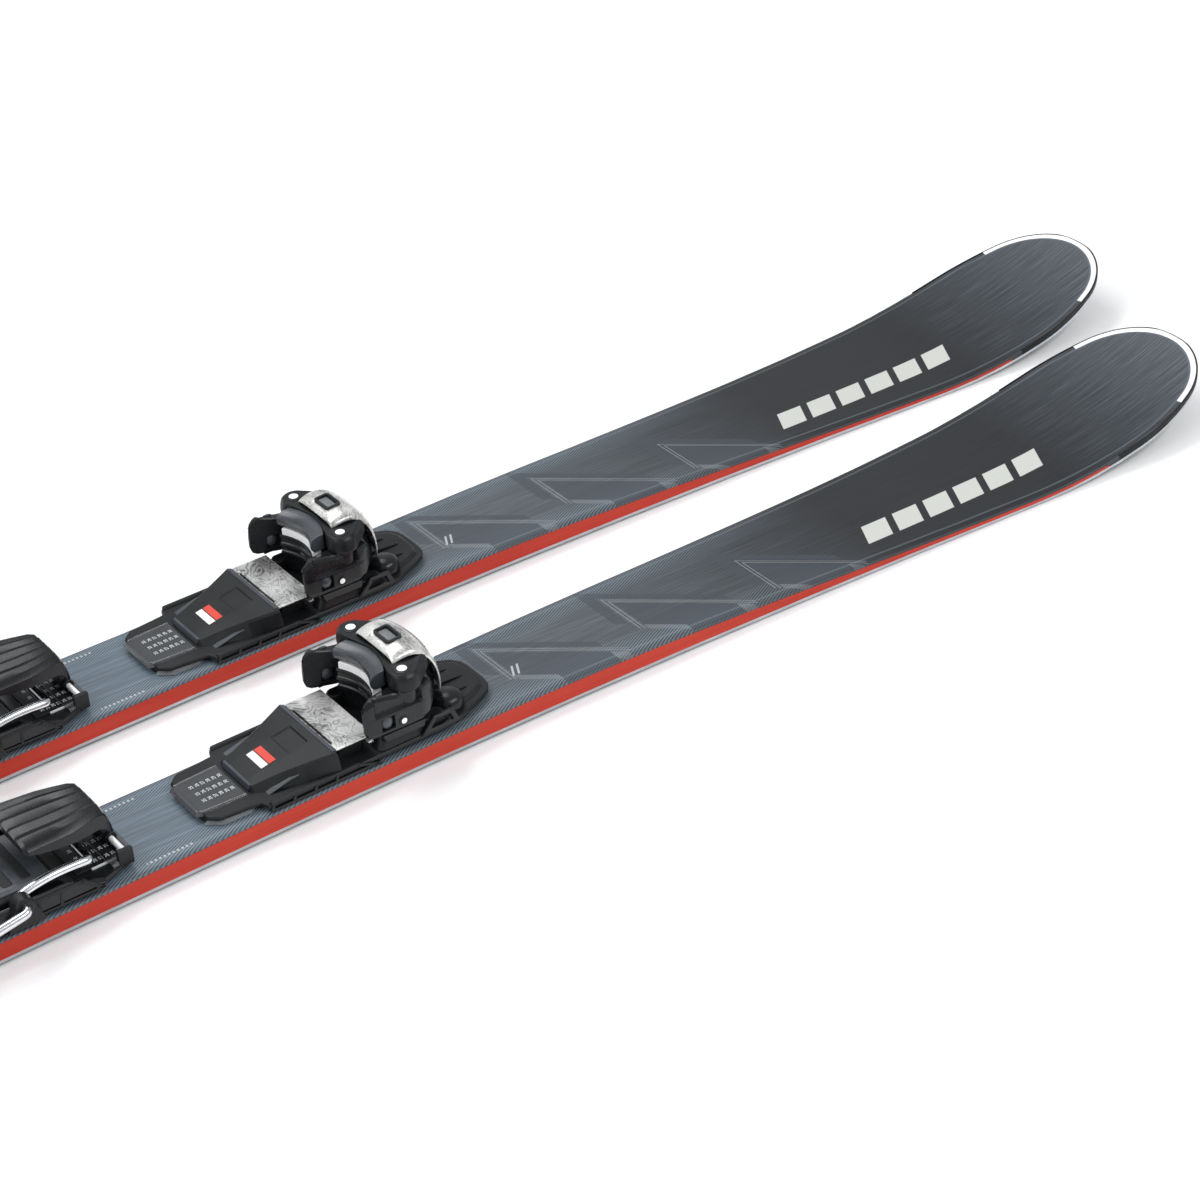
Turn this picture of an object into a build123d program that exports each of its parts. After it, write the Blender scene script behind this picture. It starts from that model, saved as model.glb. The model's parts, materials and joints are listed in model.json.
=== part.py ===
from build123d import *

import os
from math import cos, radians, sin, sqrt

# A pair of alpine skis with step-in bindings.  One ski is drawn in its own frame, with +X towards the tip, +Y to
# the skier's left, +Z up and the origin at mid-length on the floor, and is then placed twice.  Millimetres.

os.makedirs("parts", exist_ok=True)

# --- driving dimensions of the ski ---------------------------------------------------------------------
LENGTH = 1560.0
HALF = LENGTH / 2
TIP_HALF_WIDTH = 62.0
WAIST_HALF_WIDTH = 37.5
TAIL_HALF_WIDTH = 52.0
TIP_WIDEST_X = HALF - 94.0
TAIL_WIDEST_X = -HALF + 55.0
WAIST_X = -20.0
BLEND_X = TIP_WIDEST_X - 86.0  # where the sidecut hands over to the rounded shovel
TIP_NOSE_RADIUS = 56.0
TAIL_CORNER_RADIUS = 38.0

FRONT_CONTACT_X = HALF - 196.0
REAR_CONTACT_X = -HALF + 80.0
TIP_RISE = 38.6
TAIL_RISE = 8.0
CAMBER = 2.5
PLATFORM_Z = 18.2  # flat seat of the bindings above the floor
PLATFORM_FRONT_X = 165.0
PLATFORM_REAR_X = -340.0
END_THICKNESS = 5.0
BASE_THICKNESS = 1.4
EDGE_WIDTH = 2.0
EDGE_HEIGHT = 2.2
EDGE_FLANGE = 5.0
TOPSHEET_THICKNESS = 2.4
GUARD_WIDTH = 5.0
TIP_GUARD_X = HALF - 50.0
TAIL_GUARD_X = -HALF + 34.0
SIDEWALL_FRONT_X = 655.0
SIDEWALL_REAR_X = -735.0
PAST_END = 12.0  # how far the layer profiles run past the outline before they are trimmed

# --- places of the two skis ----------------------------------------------------------------------------
SKI_SPACING = 156.0
SKI_STAGGER = 54.0  # the left ski lies this far ahead of the right one
SKIS = {
    "right": (-SKI_STAGGER / 2, -SKI_SPACING / 2, 0.0),
    "left": (SKI_STAGGER / 2, SKI_SPACING / 2, 0.0),
}

# --- driving dimensions of the bindings ----------------------------------------------------------------
GAP = 0.35  # between pieces that slide past each other
RUNNING = 0.06  # radial clearance of a pin in its hole
TRACK_HALF = 20.0
TRACK_TOP = PLATFORM_Z + 3.0
TOE_TRACK = (-52.0, 142.0)
HEEL_TRACK = (-330.0, -106.0)
SCREW_RADIUS = 2.75
SCREW_HEAD_RADIUS = 4.6
SCREW_DEPTH = 9.0
SCREWS = [(x, y) for x in (28.0, 118.0, -160.0, -312.0) for y in (-12.0, 12.0)]
DECK = TRACK_TOP + GAP  # underside of both carriages

PIVOT_X, PIVOT_Y = 87.0, 29.0  # wing pivots, mirrored about the ski's centre plane
PIN_RADIUS = 3.2
PIN_BOTTOM, PIN_TOP = 24.0, 73.6
WING_BOTTOM, WING_TOP = 37.8, 58.0
BRACKET_TOP = 71.5
AFD_TOP = 37.4
AFD_HALF = 30.0
SPRING_Z = 46.0
SPRING_RADIUS = 4.9
SPRING_WIRE = 0.8
BOLT_RADIUS = 2.5

HEEL_SLAB_TOP = 24.6
BRAKE_X, BRAKE_Z = -180.0, 36.0
BRAKE_WIRE = 3.0
BRAKE_ARM_Y = 47.5
BRAKE_LEG_Y = 31.0
BRAKE_BAR = (-132.7, 39.3)
BRAKE_TIP = (-336.0, 9.2)
PEDAL_X, PEDAL_Z = -108.0, 29.0
CUP_X, CUP_Z = -266.0, 40.0
CUP_HALF = 30.0
LEVER_X, LEVER_Z = -272.0, 66.0


# --- the ski's outline and side view -------------------------------------------------------------------
def sidecut(x, end_x, end_half):
    """Half width of a parabolic sidecut that leaves the waist and reaches end_half at end_x."""
    share = (x - WAIST_X) / (end_x - WAIST_X)
    return WAIST_HALF_WIDTH + (end_half - WAIST_HALF_WIDTH) * share**2


def front_depth():
    """The parabola's factor that meets the shovel's arc with the same slope at BLEND_X."""
    run, blend = BLEND_X - WAIST_X, TIP_WIDEST_X - BLEND_X
    return (TIP_HALF_WIDTH - WAIST_HALF_WIDTH) / (run**2 + blend * run)


def outline(inset=0.0):
    """The plan outline, pulled in by inset all round, as a face of the sketch that is being built."""
    half_tip, nose = TIP_HALF_WIDTH - inset, TIP_NOSE_RADIUS - inset
    reach = HALF - inset - TIP_WIDEST_X
    side = (half_tip**2 + (reach - nose) ** 2 - nose**2) / (2 * (half_tip - nose))
    nose_x = HALF - inset - nose
    run = sqrt((nose_x - TIP_WIDEST_X) ** 2 + (side - half_tip) ** 2)
    join = (nose_x + nose * (nose_x - TIP_WIDEST_X) / run, nose * (side - half_tip) / run)
    middle = (TIP_WIDEST_X + join[0]) / 2
    bulge = (middle, half_tip - side + sqrt(side**2 - (middle - TIP_WIDEST_X) ** 2))
    depth = front_depth()
    blend_half = WAIST_HALF_WIDTH + depth * (BLEND_X - WAIST_X) ** 2 - inset
    waist_mid = ((BLEND_X + WAIST_X) / 2, WAIST_HALF_WIDTH + depth * ((BLEND_X - WAIST_X) / 2) ** 2 - inset)
    blend_mid = ((BLEND_X + TIP_WIDEST_X) / 2, (3 * half_tip + blend_half) / 4)
    tail_half, corner = TAIL_HALF_WIDTH - inset, TAIL_CORNER_RADIUS - inset
    tail_mid_x = (TAIL_WIDEST_X + WAIST_X) / 2
    tail_mid = (tail_mid_x, sidecut(tail_mid_x, TAIL_WIDEST_X, TAIL_HALF_WIDTH) - inset)
    corner_x, corner_y = -HALF + inset + corner, tail_half - corner
    with BuildLine() as edge:
        ThreePointArc((HALF - inset, 0), (nose_x + nose * cos(radians(40)), nose * sin(radians(40))), join)
        ThreePointArc(join, bulge, (TIP_WIDEST_X, half_tip))
        ThreePointArc((TIP_WIDEST_X, half_tip), blend_mid, (BLEND_X, blend_half))
        ThreePointArc((BLEND_X, blend_half), waist_mid, (WAIST_X, WAIST_HALF_WIDTH - inset))
        ThreePointArc((WAIST_X, WAIST_HALF_WIDTH - inset), tail_mid, (TAIL_WIDEST_X, tail_half))
        Line((TAIL_WIDEST_X, tail_half), (corner_x, tail_half))
        ThreePointArc(
            (corner_x, tail_half),
            (corner_x - corner * cos(radians(45)), corner_y + corner * sin(radians(45))),
            (corner_x - corner, corner_y),
        )
        Line((corner_x - corner, corner_y), (corner_x - corner, 0))
        mirror(about=Plane.XZ)
    make_face(edge.edges())


def bottom_line(lift):
    """The base's side view from tail to tip, lifted by lift."""
    rear, front = (REAR_CONTACT_X, lift), (FRONT_CONTACT_X, lift)
    TangentArc(rear, (-HALF - PAST_END, TAIL_RISE + 2 + lift), tangent=(-1, 0))
    ThreePointArc(rear, ((REAR_CONTACT_X + FRONT_CONTACT_X) / 2, CAMBER + lift), front)
    TangentArc(front, (HALF + PAST_END, TIP_RISE + 4.8 + lift), tangent=(1, 0))


def top_line(drop):
    """The top's side view from tip to tail, lowered by drop."""
    shovel, heel = (FRONT_CONTACT_X, 7.0 - drop), (REAR_CONTACT_X, 6.2 - drop)
    front, rear = (PLATFORM_FRONT_X, PLATFORM_Z - drop), (PLATFORM_REAR_X, PLATFORM_Z - drop)
    TangentArc(shovel, (HALF + PAST_END, TIP_RISE + 4.8 + END_THICKNESS - drop), tangent=(1, 0))
    Spline(shovel, (370.0, 12.6 - drop), front, tangents=((-1, 0), (-1, 0)))
    Line(front, rear)
    Spline(rear, (-530.0, 12.0 - drop), heel, tangents=((-1, 0), (-1, 0)))
    TangentArc(heel, (-HALF - PAST_END, TAIL_RISE + 2 + END_THICKNESS - drop), tangent=(-1, 0))


def layer(low_lift, high_lift=None, drop=None):
    """A full-width slab that follows the base from low_lift up to high_lift, or up to drop under the top."""
    with BuildSketch(Plane.XZ) as side:
        with BuildLine():
            bottom_line(low_lift)
            if drop is None:
                bottom_line(high_lift)
            else:
                top_line(drop)
            for x, rise in ((-HALF - PAST_END, TAIL_RISE + 2), (HALF + PAST_END, TIP_RISE + 4.8)):
                Line((x, rise + low_lift), (x, rise + (high_lift if drop is None else END_THICKNESS - drop)))
        make_face()
    extrude(side.sketch, amount=TIP_HALF_WIDTH + 5, both=True)


def trim_to(inset, mode=Mode.INTERSECT):
    """Trims the part that is being built to the outline pulled in by inset, or cuts that outline out of it."""
    with BuildSketch(Plane.XY.offset(-1)) as plan:
        outline(inset)
    extrude(plan.sketch, amount=80, mode=mode)


def block(x0, x1, y0, y1, z0, z1, mode=Mode.ADD):
    """A box between two corners, in the part that is being built."""
    with Locations(((x0 + x1) / 2, (y0 + y1) / 2, (z0 + z1) / 2)):
        Box(x1 - x0, y1 - y0, z1 - z0, mode=mode)


def rod(radius, x, y, z0, z1, mode=Mode.ADD):
    """An upright cylinder from z0 to z1."""
    with Locations((x, y, (z0 + z1) / 2)):
        Cylinder(radius, z1 - z0, mode=mode)


def rod_x(radius, x0, x1, y, z, mode=Mode.ADD):
    """A cylinder along X."""
    with Locations(((x0 + x1) / 2, y, z)):
        Cylinder(radius, x1 - x0, rotation=(0, 90, 0), mode=mode)


def rod_y(radius, x, z, y0, y1, mode=Mode.ADD):
    """A cylinder along Y."""
    with Locations((x, (y0 + y1) / 2, z)):
        Cylinder(radius, y1 - y0, rotation=(90, 0, 0), mode=mode)


def side_view(points, half, mode=Mode.ADD, centre=0.0):
    """Extrudes a closed polygon of (x, z) points across Y, from centre - half to centre + half."""
    with BuildSketch(Plane.XZ.offset(-centre)) as side:
        with BuildLine():
            Polyline(*points, close=True)
        make_face()
    extrude(side.sketch, amount=half, both=True, mode=mode)


def plan_view(points, z0, z1, mode=Mode.ADD):
    """Extrudes a closed polygon of (x, y) points from z0 to z1."""
    with BuildSketch(Plane.XY.offset(z0)) as plan:
        with BuildLine():
            Polyline(*points, close=True)
        make_face()
    extrude(plan.sketch, amount=z1 - z0, mode=mode)


def both_sides(points):
    """A polygon's points for +Y, followed by their mirror images for -Y in reverse order."""
    return points + [(x, -y) for x, y in reversed(points)]


def screw_holes(radius, z0, z1):
    """Cuts an upright hole at every mounting screw."""
    for x, y in SCREWS:
        rod(radius, x, y, z0, z1, Mode.SUBTRACT)


def wire(points, radius):
    """A round wire along straight runs between points, with rounded corners."""
    for start, end in zip(points, points[1:]):
        run = Vector(*end) - Vector(*start)
        with BuildSketch(Plane(origin=start, z_dir=run)) as section:
            Circle(radius)
        extrude(section.sketch, amount=run.length)
    for corner in points[1:-1]:
        with Locations(corner):
            Sphere(radius)


# --- the ski -------------------------------------------------------------------------------------------
with BuildPart() as running_base:
    layer(0.0, high_lift=BASE_THICKNESS)
    trim_to(EDGE_WIDTH)

with BuildPart() as end_guards:
    layer(EDGE_HEIGHT, drop=0.0)
    trim_to(0.0)
    trim_to(GUARD_WIDTH, Mode.SUBTRACT)
    block(TAIL_GUARD_X, TIP_GUARD_X, -90, 90, -20, 90, Mode.SUBTRACT)

with BuildPart() as steel_edges:
    layer(0.0, high_lift=EDGE_HEIGHT)
    trim_to(0.0)
    trim_to(EDGE_WIDTH + EDGE_FLANGE, Mode.SUBTRACT)
    add(running_base.part, mode=Mode.SUBTRACT)
    block(-HALF - 5, TAIL_GUARD_X, -TAIL_HALF_WIDTH + 20, TAIL_HALF_WIDTH - 20, -5, 40, Mode.SUBTRACT)

with BuildPart() as wood_core:
    layer(BASE_THICKNESS, drop=TOPSHEET_THICKNESS)
    trim_to(EDGE_WIDTH + EDGE_FLANGE)
    screw_holes(SCREW_RADIUS, PLATFORM_Z - SCREW_DEPTH, PLATFORM_Z + 1)

with BuildPart() as sidewalls:
    layer(EDGE_HEIGHT, drop=TOPSHEET_THICKNESS)
    trim_to(0.0)
    trim_to(EDGE_WIDTH + EDGE_FLANGE, Mode.SUBTRACT)
    block(SIDEWALL_FRONT_X, HALF + 20, -90, 90, -20, 90, Mode.SUBTRACT)
    block(-HALF - 20, SIDEWALL_REAR_X, -90, 90, -20, 90, Mode.SUBTRACT)

with BuildPart() as topsheet:
    layer(EDGE_HEIGHT, drop=0.0)
    trim_to(0.0)
    add(wood_core.part, mode=Mode.SUBTRACT)
    add(sidewalls.part, mode=Mode.SUBTRACT)
    add(end_guards.part, mode=Mode.SUBTRACT)
    screw_holes(SCREW_RADIUS, PLATFORM_Z - SCREW_DEPTH, PLATFORM_Z + 1)

# --- rails and screws ----------------------------------------------------------------------------------


def rail(x0, x1):
    """A T-shaped rail on the ski with a sunk hole for every mounting screw."""
    block(x0, x1, -TRACK_HALF + 3, TRACK_HALF - 3, PLATFORM_Z, TRACK_TOP - 1.5)
    block(x0, x1, -TRACK_HALF, TRACK_HALF, TRACK_TOP - 1.5, TRACK_TOP)
    screw_holes(SCREW_RADIUS, PLATFORM_Z - 1, TRACK_TOP + 1)
    screw_holes(SCREW_HEAD_RADIUS, PLATFORM_Z + 1.0, TRACK_TOP + 1)


def rail_hooks(x0, x1):
    """Skirts with inward hooks that hold a carriage on its rail."""
    for side in (-1, 1):
        ys = sorted((side * (TRACK_HALF + GAP), side * (TRACK_HALF + 4)))
        block(x0, x1, *ys, PLATFORM_Z + GAP, DECK)
        ys = sorted((side * (TRACK_HALF - 3 + GAP), side * (TRACK_HALF + 4)))
        block(x0, x1, *ys, PLATFORM_Z + GAP, TRACK_TOP - 1.5 - GAP)


with BuildPart() as toe_track:
    rail(*TOE_TRACK)

with BuildPart() as heel_track:
    rail(*HEEL_TRACK)

with BuildPart() as mounting_screws:
    for x, y in SCREWS:
        rod(SCREW_RADIUS, x, y, PLATFORM_Z - SCREW_DEPTH, PLATFORM_Z + 1.0)
        rod(SCREW_HEAD_RADIUS, x, y, PLATFORM_Z + 1.0, TRACK_TOP - 0.2)
        with Locations((x, y, TRACK_TOP - 0.2)):
            Box(5.4, 1.1, 1.6, mode=Mode.SUBTRACT)
            Box(1.1, 5.4, 1.6, mode=Mode.SUBTRACT)

# --- toe piece -----------------------------------------------------------------------------------------
with BuildPart() as toe_base:
    plan_view(both_sides([(150, 15), (136, 21), (124, 34), (112, 36), (-18, 36), (-20, 22), (-52, 22)]), DECK, 25)
    rail_hooks(-18, 125)
    block(40, 57, -24, 24, 25, 33)
    block(37, 60, -24, 24, 33, 35.4)
    side_view([(118, 25), (150, 25), (141, 28), (118, 33)], 15)
    side_view([(94, 25), (118, 25), (118, 60), (110, BRACKET_TOP), (94, BRACKET_TOP)], 15)
    plan_view(both_sides([(106, 30), (101, 36), (78, 36)]), WING_TOP + GAP, BRACKET_TOP)
    for y in (-PIVOT_Y, PIVOT_Y):
        rod(5.0, PIVOT_X, y, 25, WING_BOTTOM - GAP)
        rod(PIN_RADIUS, PIVOT_X, y, PIN_BOTTOM, PIN_TOP, Mode.SUBTRACT)
    rod_x(BOLT_RADIUS + GAP, 90, 100, 0, SPRING_Z, Mode.SUBTRACT)
    rod_x(7.0, 99, 119, 0, SPRING_Z, Mode.SUBTRACT)
    block(-51, -22, -20.5, 20.5, 23.4, 26, Mode.SUBTRACT)

with BuildPart() as toe_scale_window:
    block(-51, -22, -20.5, 20.5, 23.4, 25.8)

with BuildPart() as toe_ramp:
    side_view([(34.9, 25), (34.9, 37.8), (28, 37.8), (-14, 28.5), (-19.5, 25)], 36)
    for side in (-1, 1):
        plan_view([(-20, side * 19), (30, side * 37), (-20, side * 37)], 24, 40, Mode.SUBTRACT)

with BuildPart() as afd_plate:
    block(35.3, 61.7, -AFD_HALF, AFD_HALF, AFD_TOP - 1.6, AFD_TOP)
    for x0, x1, x2, x3 in ((35.3, 36.65, 35.3, 39.0), (60.35, 61.7, 58.0, 61.7)):
        block(x0, x1, -AFD_HALF, AFD_HALF, 31.0, AFD_TOP - 1.6)
        block(x2, x3, -AFD_HALF, AFD_HALF, 31.0, 32.6)

with BuildPart() as toe_stop:
    block(62.1, 75, -22, 22, 25, 56)
    rod(60, 6, 0, 38, 57, Mode.SUBTRACT)

with BuildPart() as toe_cover:
    side_view([(80, 71.5), (80, 74), (90, 78.5), (104, 79.5), (113, 73), (121, 58), (124, 46), (122, 33),
               (118, 33), (118, 60), (110, 71.5)], 25)
    rod_x(7.0, 117, 125, 0, SPRING_Z, Mode.SUBTRACT)
    block(91, 101, -8, 8, 76, 85, Mode.SUBTRACT)

with BuildPart() as toe_indicator_window:
    block(91, 101, -8, 8, 76, 78.6)

with BuildPart() as pivot_pins:
    for y in (-PIVOT_Y, PIVOT_Y):
        rod(PIN_RADIUS, PIVOT_X, y, PIN_BOTTOM, PIN_TOP)

with BuildPart() as toe_spring:
    with BuildLine() as coil:
        Helix(pitch=2.7, height=11.4, radius=SPRING_RADIUS, center=(100.3, 0, SPRING_Z), direction=(1, 0, 0))
    with BuildSketch(Plane(origin=coil.line @ 0, z_dir=coil.line % 0)):
        Circle(SPRING_WIRE)
    sweep()

with BuildPart() as toe_release_screw:
    rod_x(BOLT_RADIUS, 79, 113, 0, SPRING_Z)
    rod_x(6.5, 113, 119, 0, SPRING_Z)
    block(76, 80, -22, 22, SPRING_Z - 3, SPRING_Z + 3)
    block(117, 120, -5, 5, SPRING_Z - 0.8, SPRING_Z + 0.8, Mode.SUBTRACT)


def wing(side):
    """A toe wing on its pivot: a jaw with a roof over the boot's toe, and an inner arm behind the screw's bar."""
    low = [(100, 30), (100, 36), (94, 38.5), (58, 38.5), (53, 36), (53, 31), (62.6, 31), (67, 27), (74, 26.5),
           (80, 24)]
    roof = [(76, 38), (58, 38.5), (53, 36), (53, 27), (60, 24), (72, 23)]
    skirt = [(100, 34.5), (94, 38.5), (64, 38.5), (64, 34.5)]
    plan_view([(x, side * y) for x, y in low], WING_BOTTOM, WING_TOP)
    plan_view([(x, side * y) for x, y in roof], WING_TOP, 66)
    plan_view([(x, side * y) for x, y in skirt], WING_BOTTOM - 5, WING_BOTTOM)
    rod(9, PIVOT_X, side * PIVOT_Y, WING_BOTTOM, WING_TOP)
    block(84.3, 90, *sorted((side * 19, side * 30)), 42, 50)
    rod(PIN_RADIUS + RUNNING, PIVOT_X, side * PIVOT_Y, WING_BOTTOM - 1, WING_TOP + 1, Mode.SUBTRACT)


with BuildPart() as toe_left_wing:
    wing(1)

with BuildPart() as toe_right_wing:
    wing(-1)

# --- heel piece ----------------------------------------------------------------------------------------
with BuildPart() as heel_base:
    plan_view(both_sides([(-103, 24), (-112, 33), (-140, 36), (-306, 36), (-312, 30)]), DECK, HEEL_SLAB_TOP)
    rail_hooks(-300, -122)
    for side in (-1, 1):
        block(-188, -172, *sorted((side * 34.6, side * 43.4)), DECK, 42)
        block(-292, -250, *sorted((side * (CUP_HALF + GAP), side * 35)), HEEL_SLAB_TOP, 47)
        block(-114, -104, *sorted((side * 25.35, side * 29)), DECK, 33)
    rod_y(BRAKE_WIRE + RUNNING, BRAKE_X, BRAKE_Z, -50, 50, Mode.SUBTRACT)
    rod_y(3.0 + RUNNING, CUP_X, CUP_Z, -50, 50, Mode.SUBTRACT)
    rod_y(2.0 + RUNNING, PEDAL_X, PEDAL_Z, -50, 50, Mode.SUBTRACT)
    block(-137, -117, -21, 21, 23.4, 26, Mode.SUBTRACT)

with BuildPart() as heel_scale_window:
    block(-137, -117, -21, 21, 23.4, HEEL_SLAB_TOP)

with BuildPart() as heel_pad:
    block(-222, -153, -26, 26, HEEL_SLAB_TOP, 38)

with BuildPart() as heel_cup:
    side_view([(-226, 36.5), (-226, 40), (-247, 42), (-249, 67), (-232, 68.5), (-230, 76), (-246, 82), (-268, 84),
               (-300, 70), (-306, 56), (-300, 46), (-272, 31.5), (-256, 31.5), (-244, 36)], CUP_HALF)
    rod(33.5, -212.5, 0, 42.5, 68, Mode.SUBTRACT)
    rod_y(3.0, CUP_X, CUP_Z, -35, 35)
    rod_y(3.0 + RUNNING, LEVER_X, LEVER_Z, CUP_HALF - 5, CUP_HALF + 1, Mode.SUBTRACT)
    rod_y(3.0 + RUNNING, LEVER_X, LEVER_Z, -CUP_HALF - 1, -CUP_HALF + 5, Mode.SUBTRACT)
    rod_x(5.0, -310, -290, 0, 57, Mode.SUBTRACT)

with BuildPart() as heel_release_screw:
    rod_x(5.0, -305, -290, 0, 57)
    block(-306, -303.5, -4, 4, 56.3, 57.7, Mode.SUBTRACT)

with BuildPart() as heel_lever:
    for side in (-1, 1):
        centre = side * (CUP_HALF + GAP + 2.5)
        side_view([(-266, 64), (-270, 72), (-316, 99), (-340, 106), (-340, 100), (-322, 88), (-274, 60)], 2.5,
                  centre=centre)
        rod_y(3.0, LEVER_X, LEVER_Z, *sorted((side * (CUP_HALF - 4.6), side * (CUP_HALF + 2))))
    side_view([(-318, 90), (-314, 98), (-340, 106), (-340, 100)], CUP_HALF + GAP + 1)

with BuildPart() as brake_pedal:
    side_view([(-112, 27), (-111.5, 48), (-115, 58.5), (-168, 62.5), (-168, 57.5), (-140, 48.6), (-120, 38),
               (-117, 27)], 27)
    for side in (-1, 1):
        plan_view([(-108, side * 18.5), (-116, side * 18.5), (-134, side * 25), (-170, side * 26.5),
                   (-170, side * 32), (-108, side * 32)], 36, 70, Mode.SUBTRACT)
        plan_view([(-108, side * 25), (-125, side * 25), (-125, side * 32), (-108, side * 32)], 26, 36,
                  Mode.SUBTRACT)
    rod_y(4.0, PEDAL_X, PEDAL_Z, -25, 25)
    rod_y(2.0, PEDAL_X, PEDAL_Z, -28.5, 28.5)

with BuildPart() as brake_arms:
    for side in (-1, 1):
        leg, arm = side * BRAKE_LEG_Y, side * BRAKE_ARM_Y
        wire([(BRAKE_BAR[0], 0, BRAKE_BAR[1]), (BRAKE_BAR[0], leg, BRAKE_BAR[1]), (BRAKE_X, leg, BRAKE_Z),
              (BRAKE_X, arm, BRAKE_Z), (BRAKE_TIP[0], arm, BRAKE_TIP[1])], BRAKE_WIRE)

with BuildPart() as brake_tips:
    reach = Vector(BRAKE_TIP[0] - BRAKE_X, 0, BRAKE_TIP[1] - BRAKE_Z).normalized()
    for side in (-1, 1):
        end = Vector(BRAKE_TIP[0], side * BRAKE_ARM_Y, BRAKE_TIP[1])
        with BuildSketch(Plane(origin=end - reach * 26, z_dir=reach)) as section:
            Circle(4.8)
        extrude(section.sketch, amount=32)
    add(brake_arms.part, mode=Mode.SUBTRACT)

# --- both skis -----------------------------------------------------------------------------------------
PIECES = {
    "running_base": running_base, "end_guards": end_guards, "steel_edges": steel_edges, "wood_core": wood_core,
    "sidewalls": sidewalls, "topsheet": topsheet, "toe_track": toe_track, "heel_track": heel_track,
    "mounting_screws": mounting_screws, "toe_base": toe_base, "toe_scale_window": toe_scale_window,
    "toe_ramp": toe_ramp, "afd_plate": afd_plate, "toe_stop": toe_stop, "toe_cover": toe_cover,
    "toe_indicator_window": toe_indicator_window, "pivot_pins": pivot_pins, "toe_spring": toe_spring,
    "toe_release_screw": toe_release_screw, "toe_left_wing": toe_left_wing, "toe_right_wing": toe_right_wing,
    "heel_base": heel_base, "heel_scale_window": heel_scale_window, "heel_pad": heel_pad, "heel_cup": heel_cup,
    "heel_release_screw": heel_release_screw, "heel_lever": heel_lever, "brake_pedal": brake_pedal,
    "brake_arms": brake_arms, "brake_tips": brake_tips,
}
for side, place in SKIS.items():
    for name, piece in PIECES.items():
        placed = piece.part.moved(Location(place))
        placed.label = f"{side}_{name}"
        export_step(placed, f"parts/{side}_{name}.step")
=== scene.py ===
import json
import math

import bmesh
import bpy
from mathutils import Matrix, Vector
from mathutils.bvhtree import BVHTree

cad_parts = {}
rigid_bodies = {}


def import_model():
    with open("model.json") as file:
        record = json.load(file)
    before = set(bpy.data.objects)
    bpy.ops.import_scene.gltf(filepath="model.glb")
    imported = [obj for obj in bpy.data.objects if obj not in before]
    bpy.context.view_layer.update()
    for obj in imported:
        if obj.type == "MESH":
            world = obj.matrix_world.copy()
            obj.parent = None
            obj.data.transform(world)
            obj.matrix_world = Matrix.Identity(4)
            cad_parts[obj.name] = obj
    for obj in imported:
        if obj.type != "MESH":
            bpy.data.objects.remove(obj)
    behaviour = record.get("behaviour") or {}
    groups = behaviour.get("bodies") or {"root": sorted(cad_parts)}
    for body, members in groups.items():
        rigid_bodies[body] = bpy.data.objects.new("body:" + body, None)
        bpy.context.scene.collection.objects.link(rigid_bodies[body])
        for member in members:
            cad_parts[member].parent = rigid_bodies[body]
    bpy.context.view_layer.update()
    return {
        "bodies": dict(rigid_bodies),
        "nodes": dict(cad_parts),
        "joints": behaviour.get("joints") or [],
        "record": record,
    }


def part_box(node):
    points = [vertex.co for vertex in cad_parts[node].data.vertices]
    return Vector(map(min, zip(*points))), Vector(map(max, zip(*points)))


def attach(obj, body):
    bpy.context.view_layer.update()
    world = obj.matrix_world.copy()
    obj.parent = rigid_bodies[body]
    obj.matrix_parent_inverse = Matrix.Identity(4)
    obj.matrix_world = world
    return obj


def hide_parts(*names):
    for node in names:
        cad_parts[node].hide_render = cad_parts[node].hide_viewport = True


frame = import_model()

NODES = frame["nodes"]
SIDES = ("right", "left")
MM = 0.001


AFD_X = 48.5  # the gliding plate's middle, ahead of the ski's own origin


def ski_origin(side):
    """The place of a ski's own frame, found from its gliding plate."""
    low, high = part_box(f"{side}_afd_plate")
    return Vector(((low[0] + high[0]) / 2 - AFD_X * MM, (low[1] + high[1]) / 2, 0.0))


ORIGIN = {side: ski_origin(side) for side in SIDES}


# --- camera, floor and light ----------------------------------------------------------------------
def build_camera():
    azimuth, elevation, roll = math.radians(-34.84), math.radians(33.65), math.radians(-3.0)
    ahead = Vector((-math.sin(azimuth) * math.cos(elevation), math.cos(azimuth) * math.cos(elevation),
                    -math.sin(elevation)))
    right = Vector((math.cos(azimuth), math.sin(azimuth), 0))
    up = right.cross(ahead)
    right, up = right * math.cos(roll) + up * math.sin(roll), up * math.cos(roll) - right * math.sin(roll)
    data = bpy.data.cameras.new("camera")
    data.lens, data.sensor_width = 86.45, 36.0
    data.clip_start, data.clip_end = 0.05, 60.0
    camera = bpy.data.objects.new("camera", data)
    turn = Matrix((right, up, -ahead)).transposed()
    camera.matrix_world = Matrix.Translation((-0.6580, -1.3520, 1.0686)) @ turn.to_4x4()
    bpy.context.scene.collection.objects.link(camera)
    bpy.context.scene.camera = camera


def area_light(name, place, target, size, power, colour=(1, 1, 1)):
    data = bpy.data.lights.new(name, "AREA")
    data.shape, data.size, data.size_y = "RECTANGLE", size[0], size[1]
    data.energy, data.color = power, colour
    lamp = bpy.data.objects.new(name, data)
    lamp.location = place
    lamp.rotation_euler = (Vector(target) - Vector(place)).to_track_quat("-Z", "Y").to_euler()
    bpy.context.scene.collection.objects.link(lamp)


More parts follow.
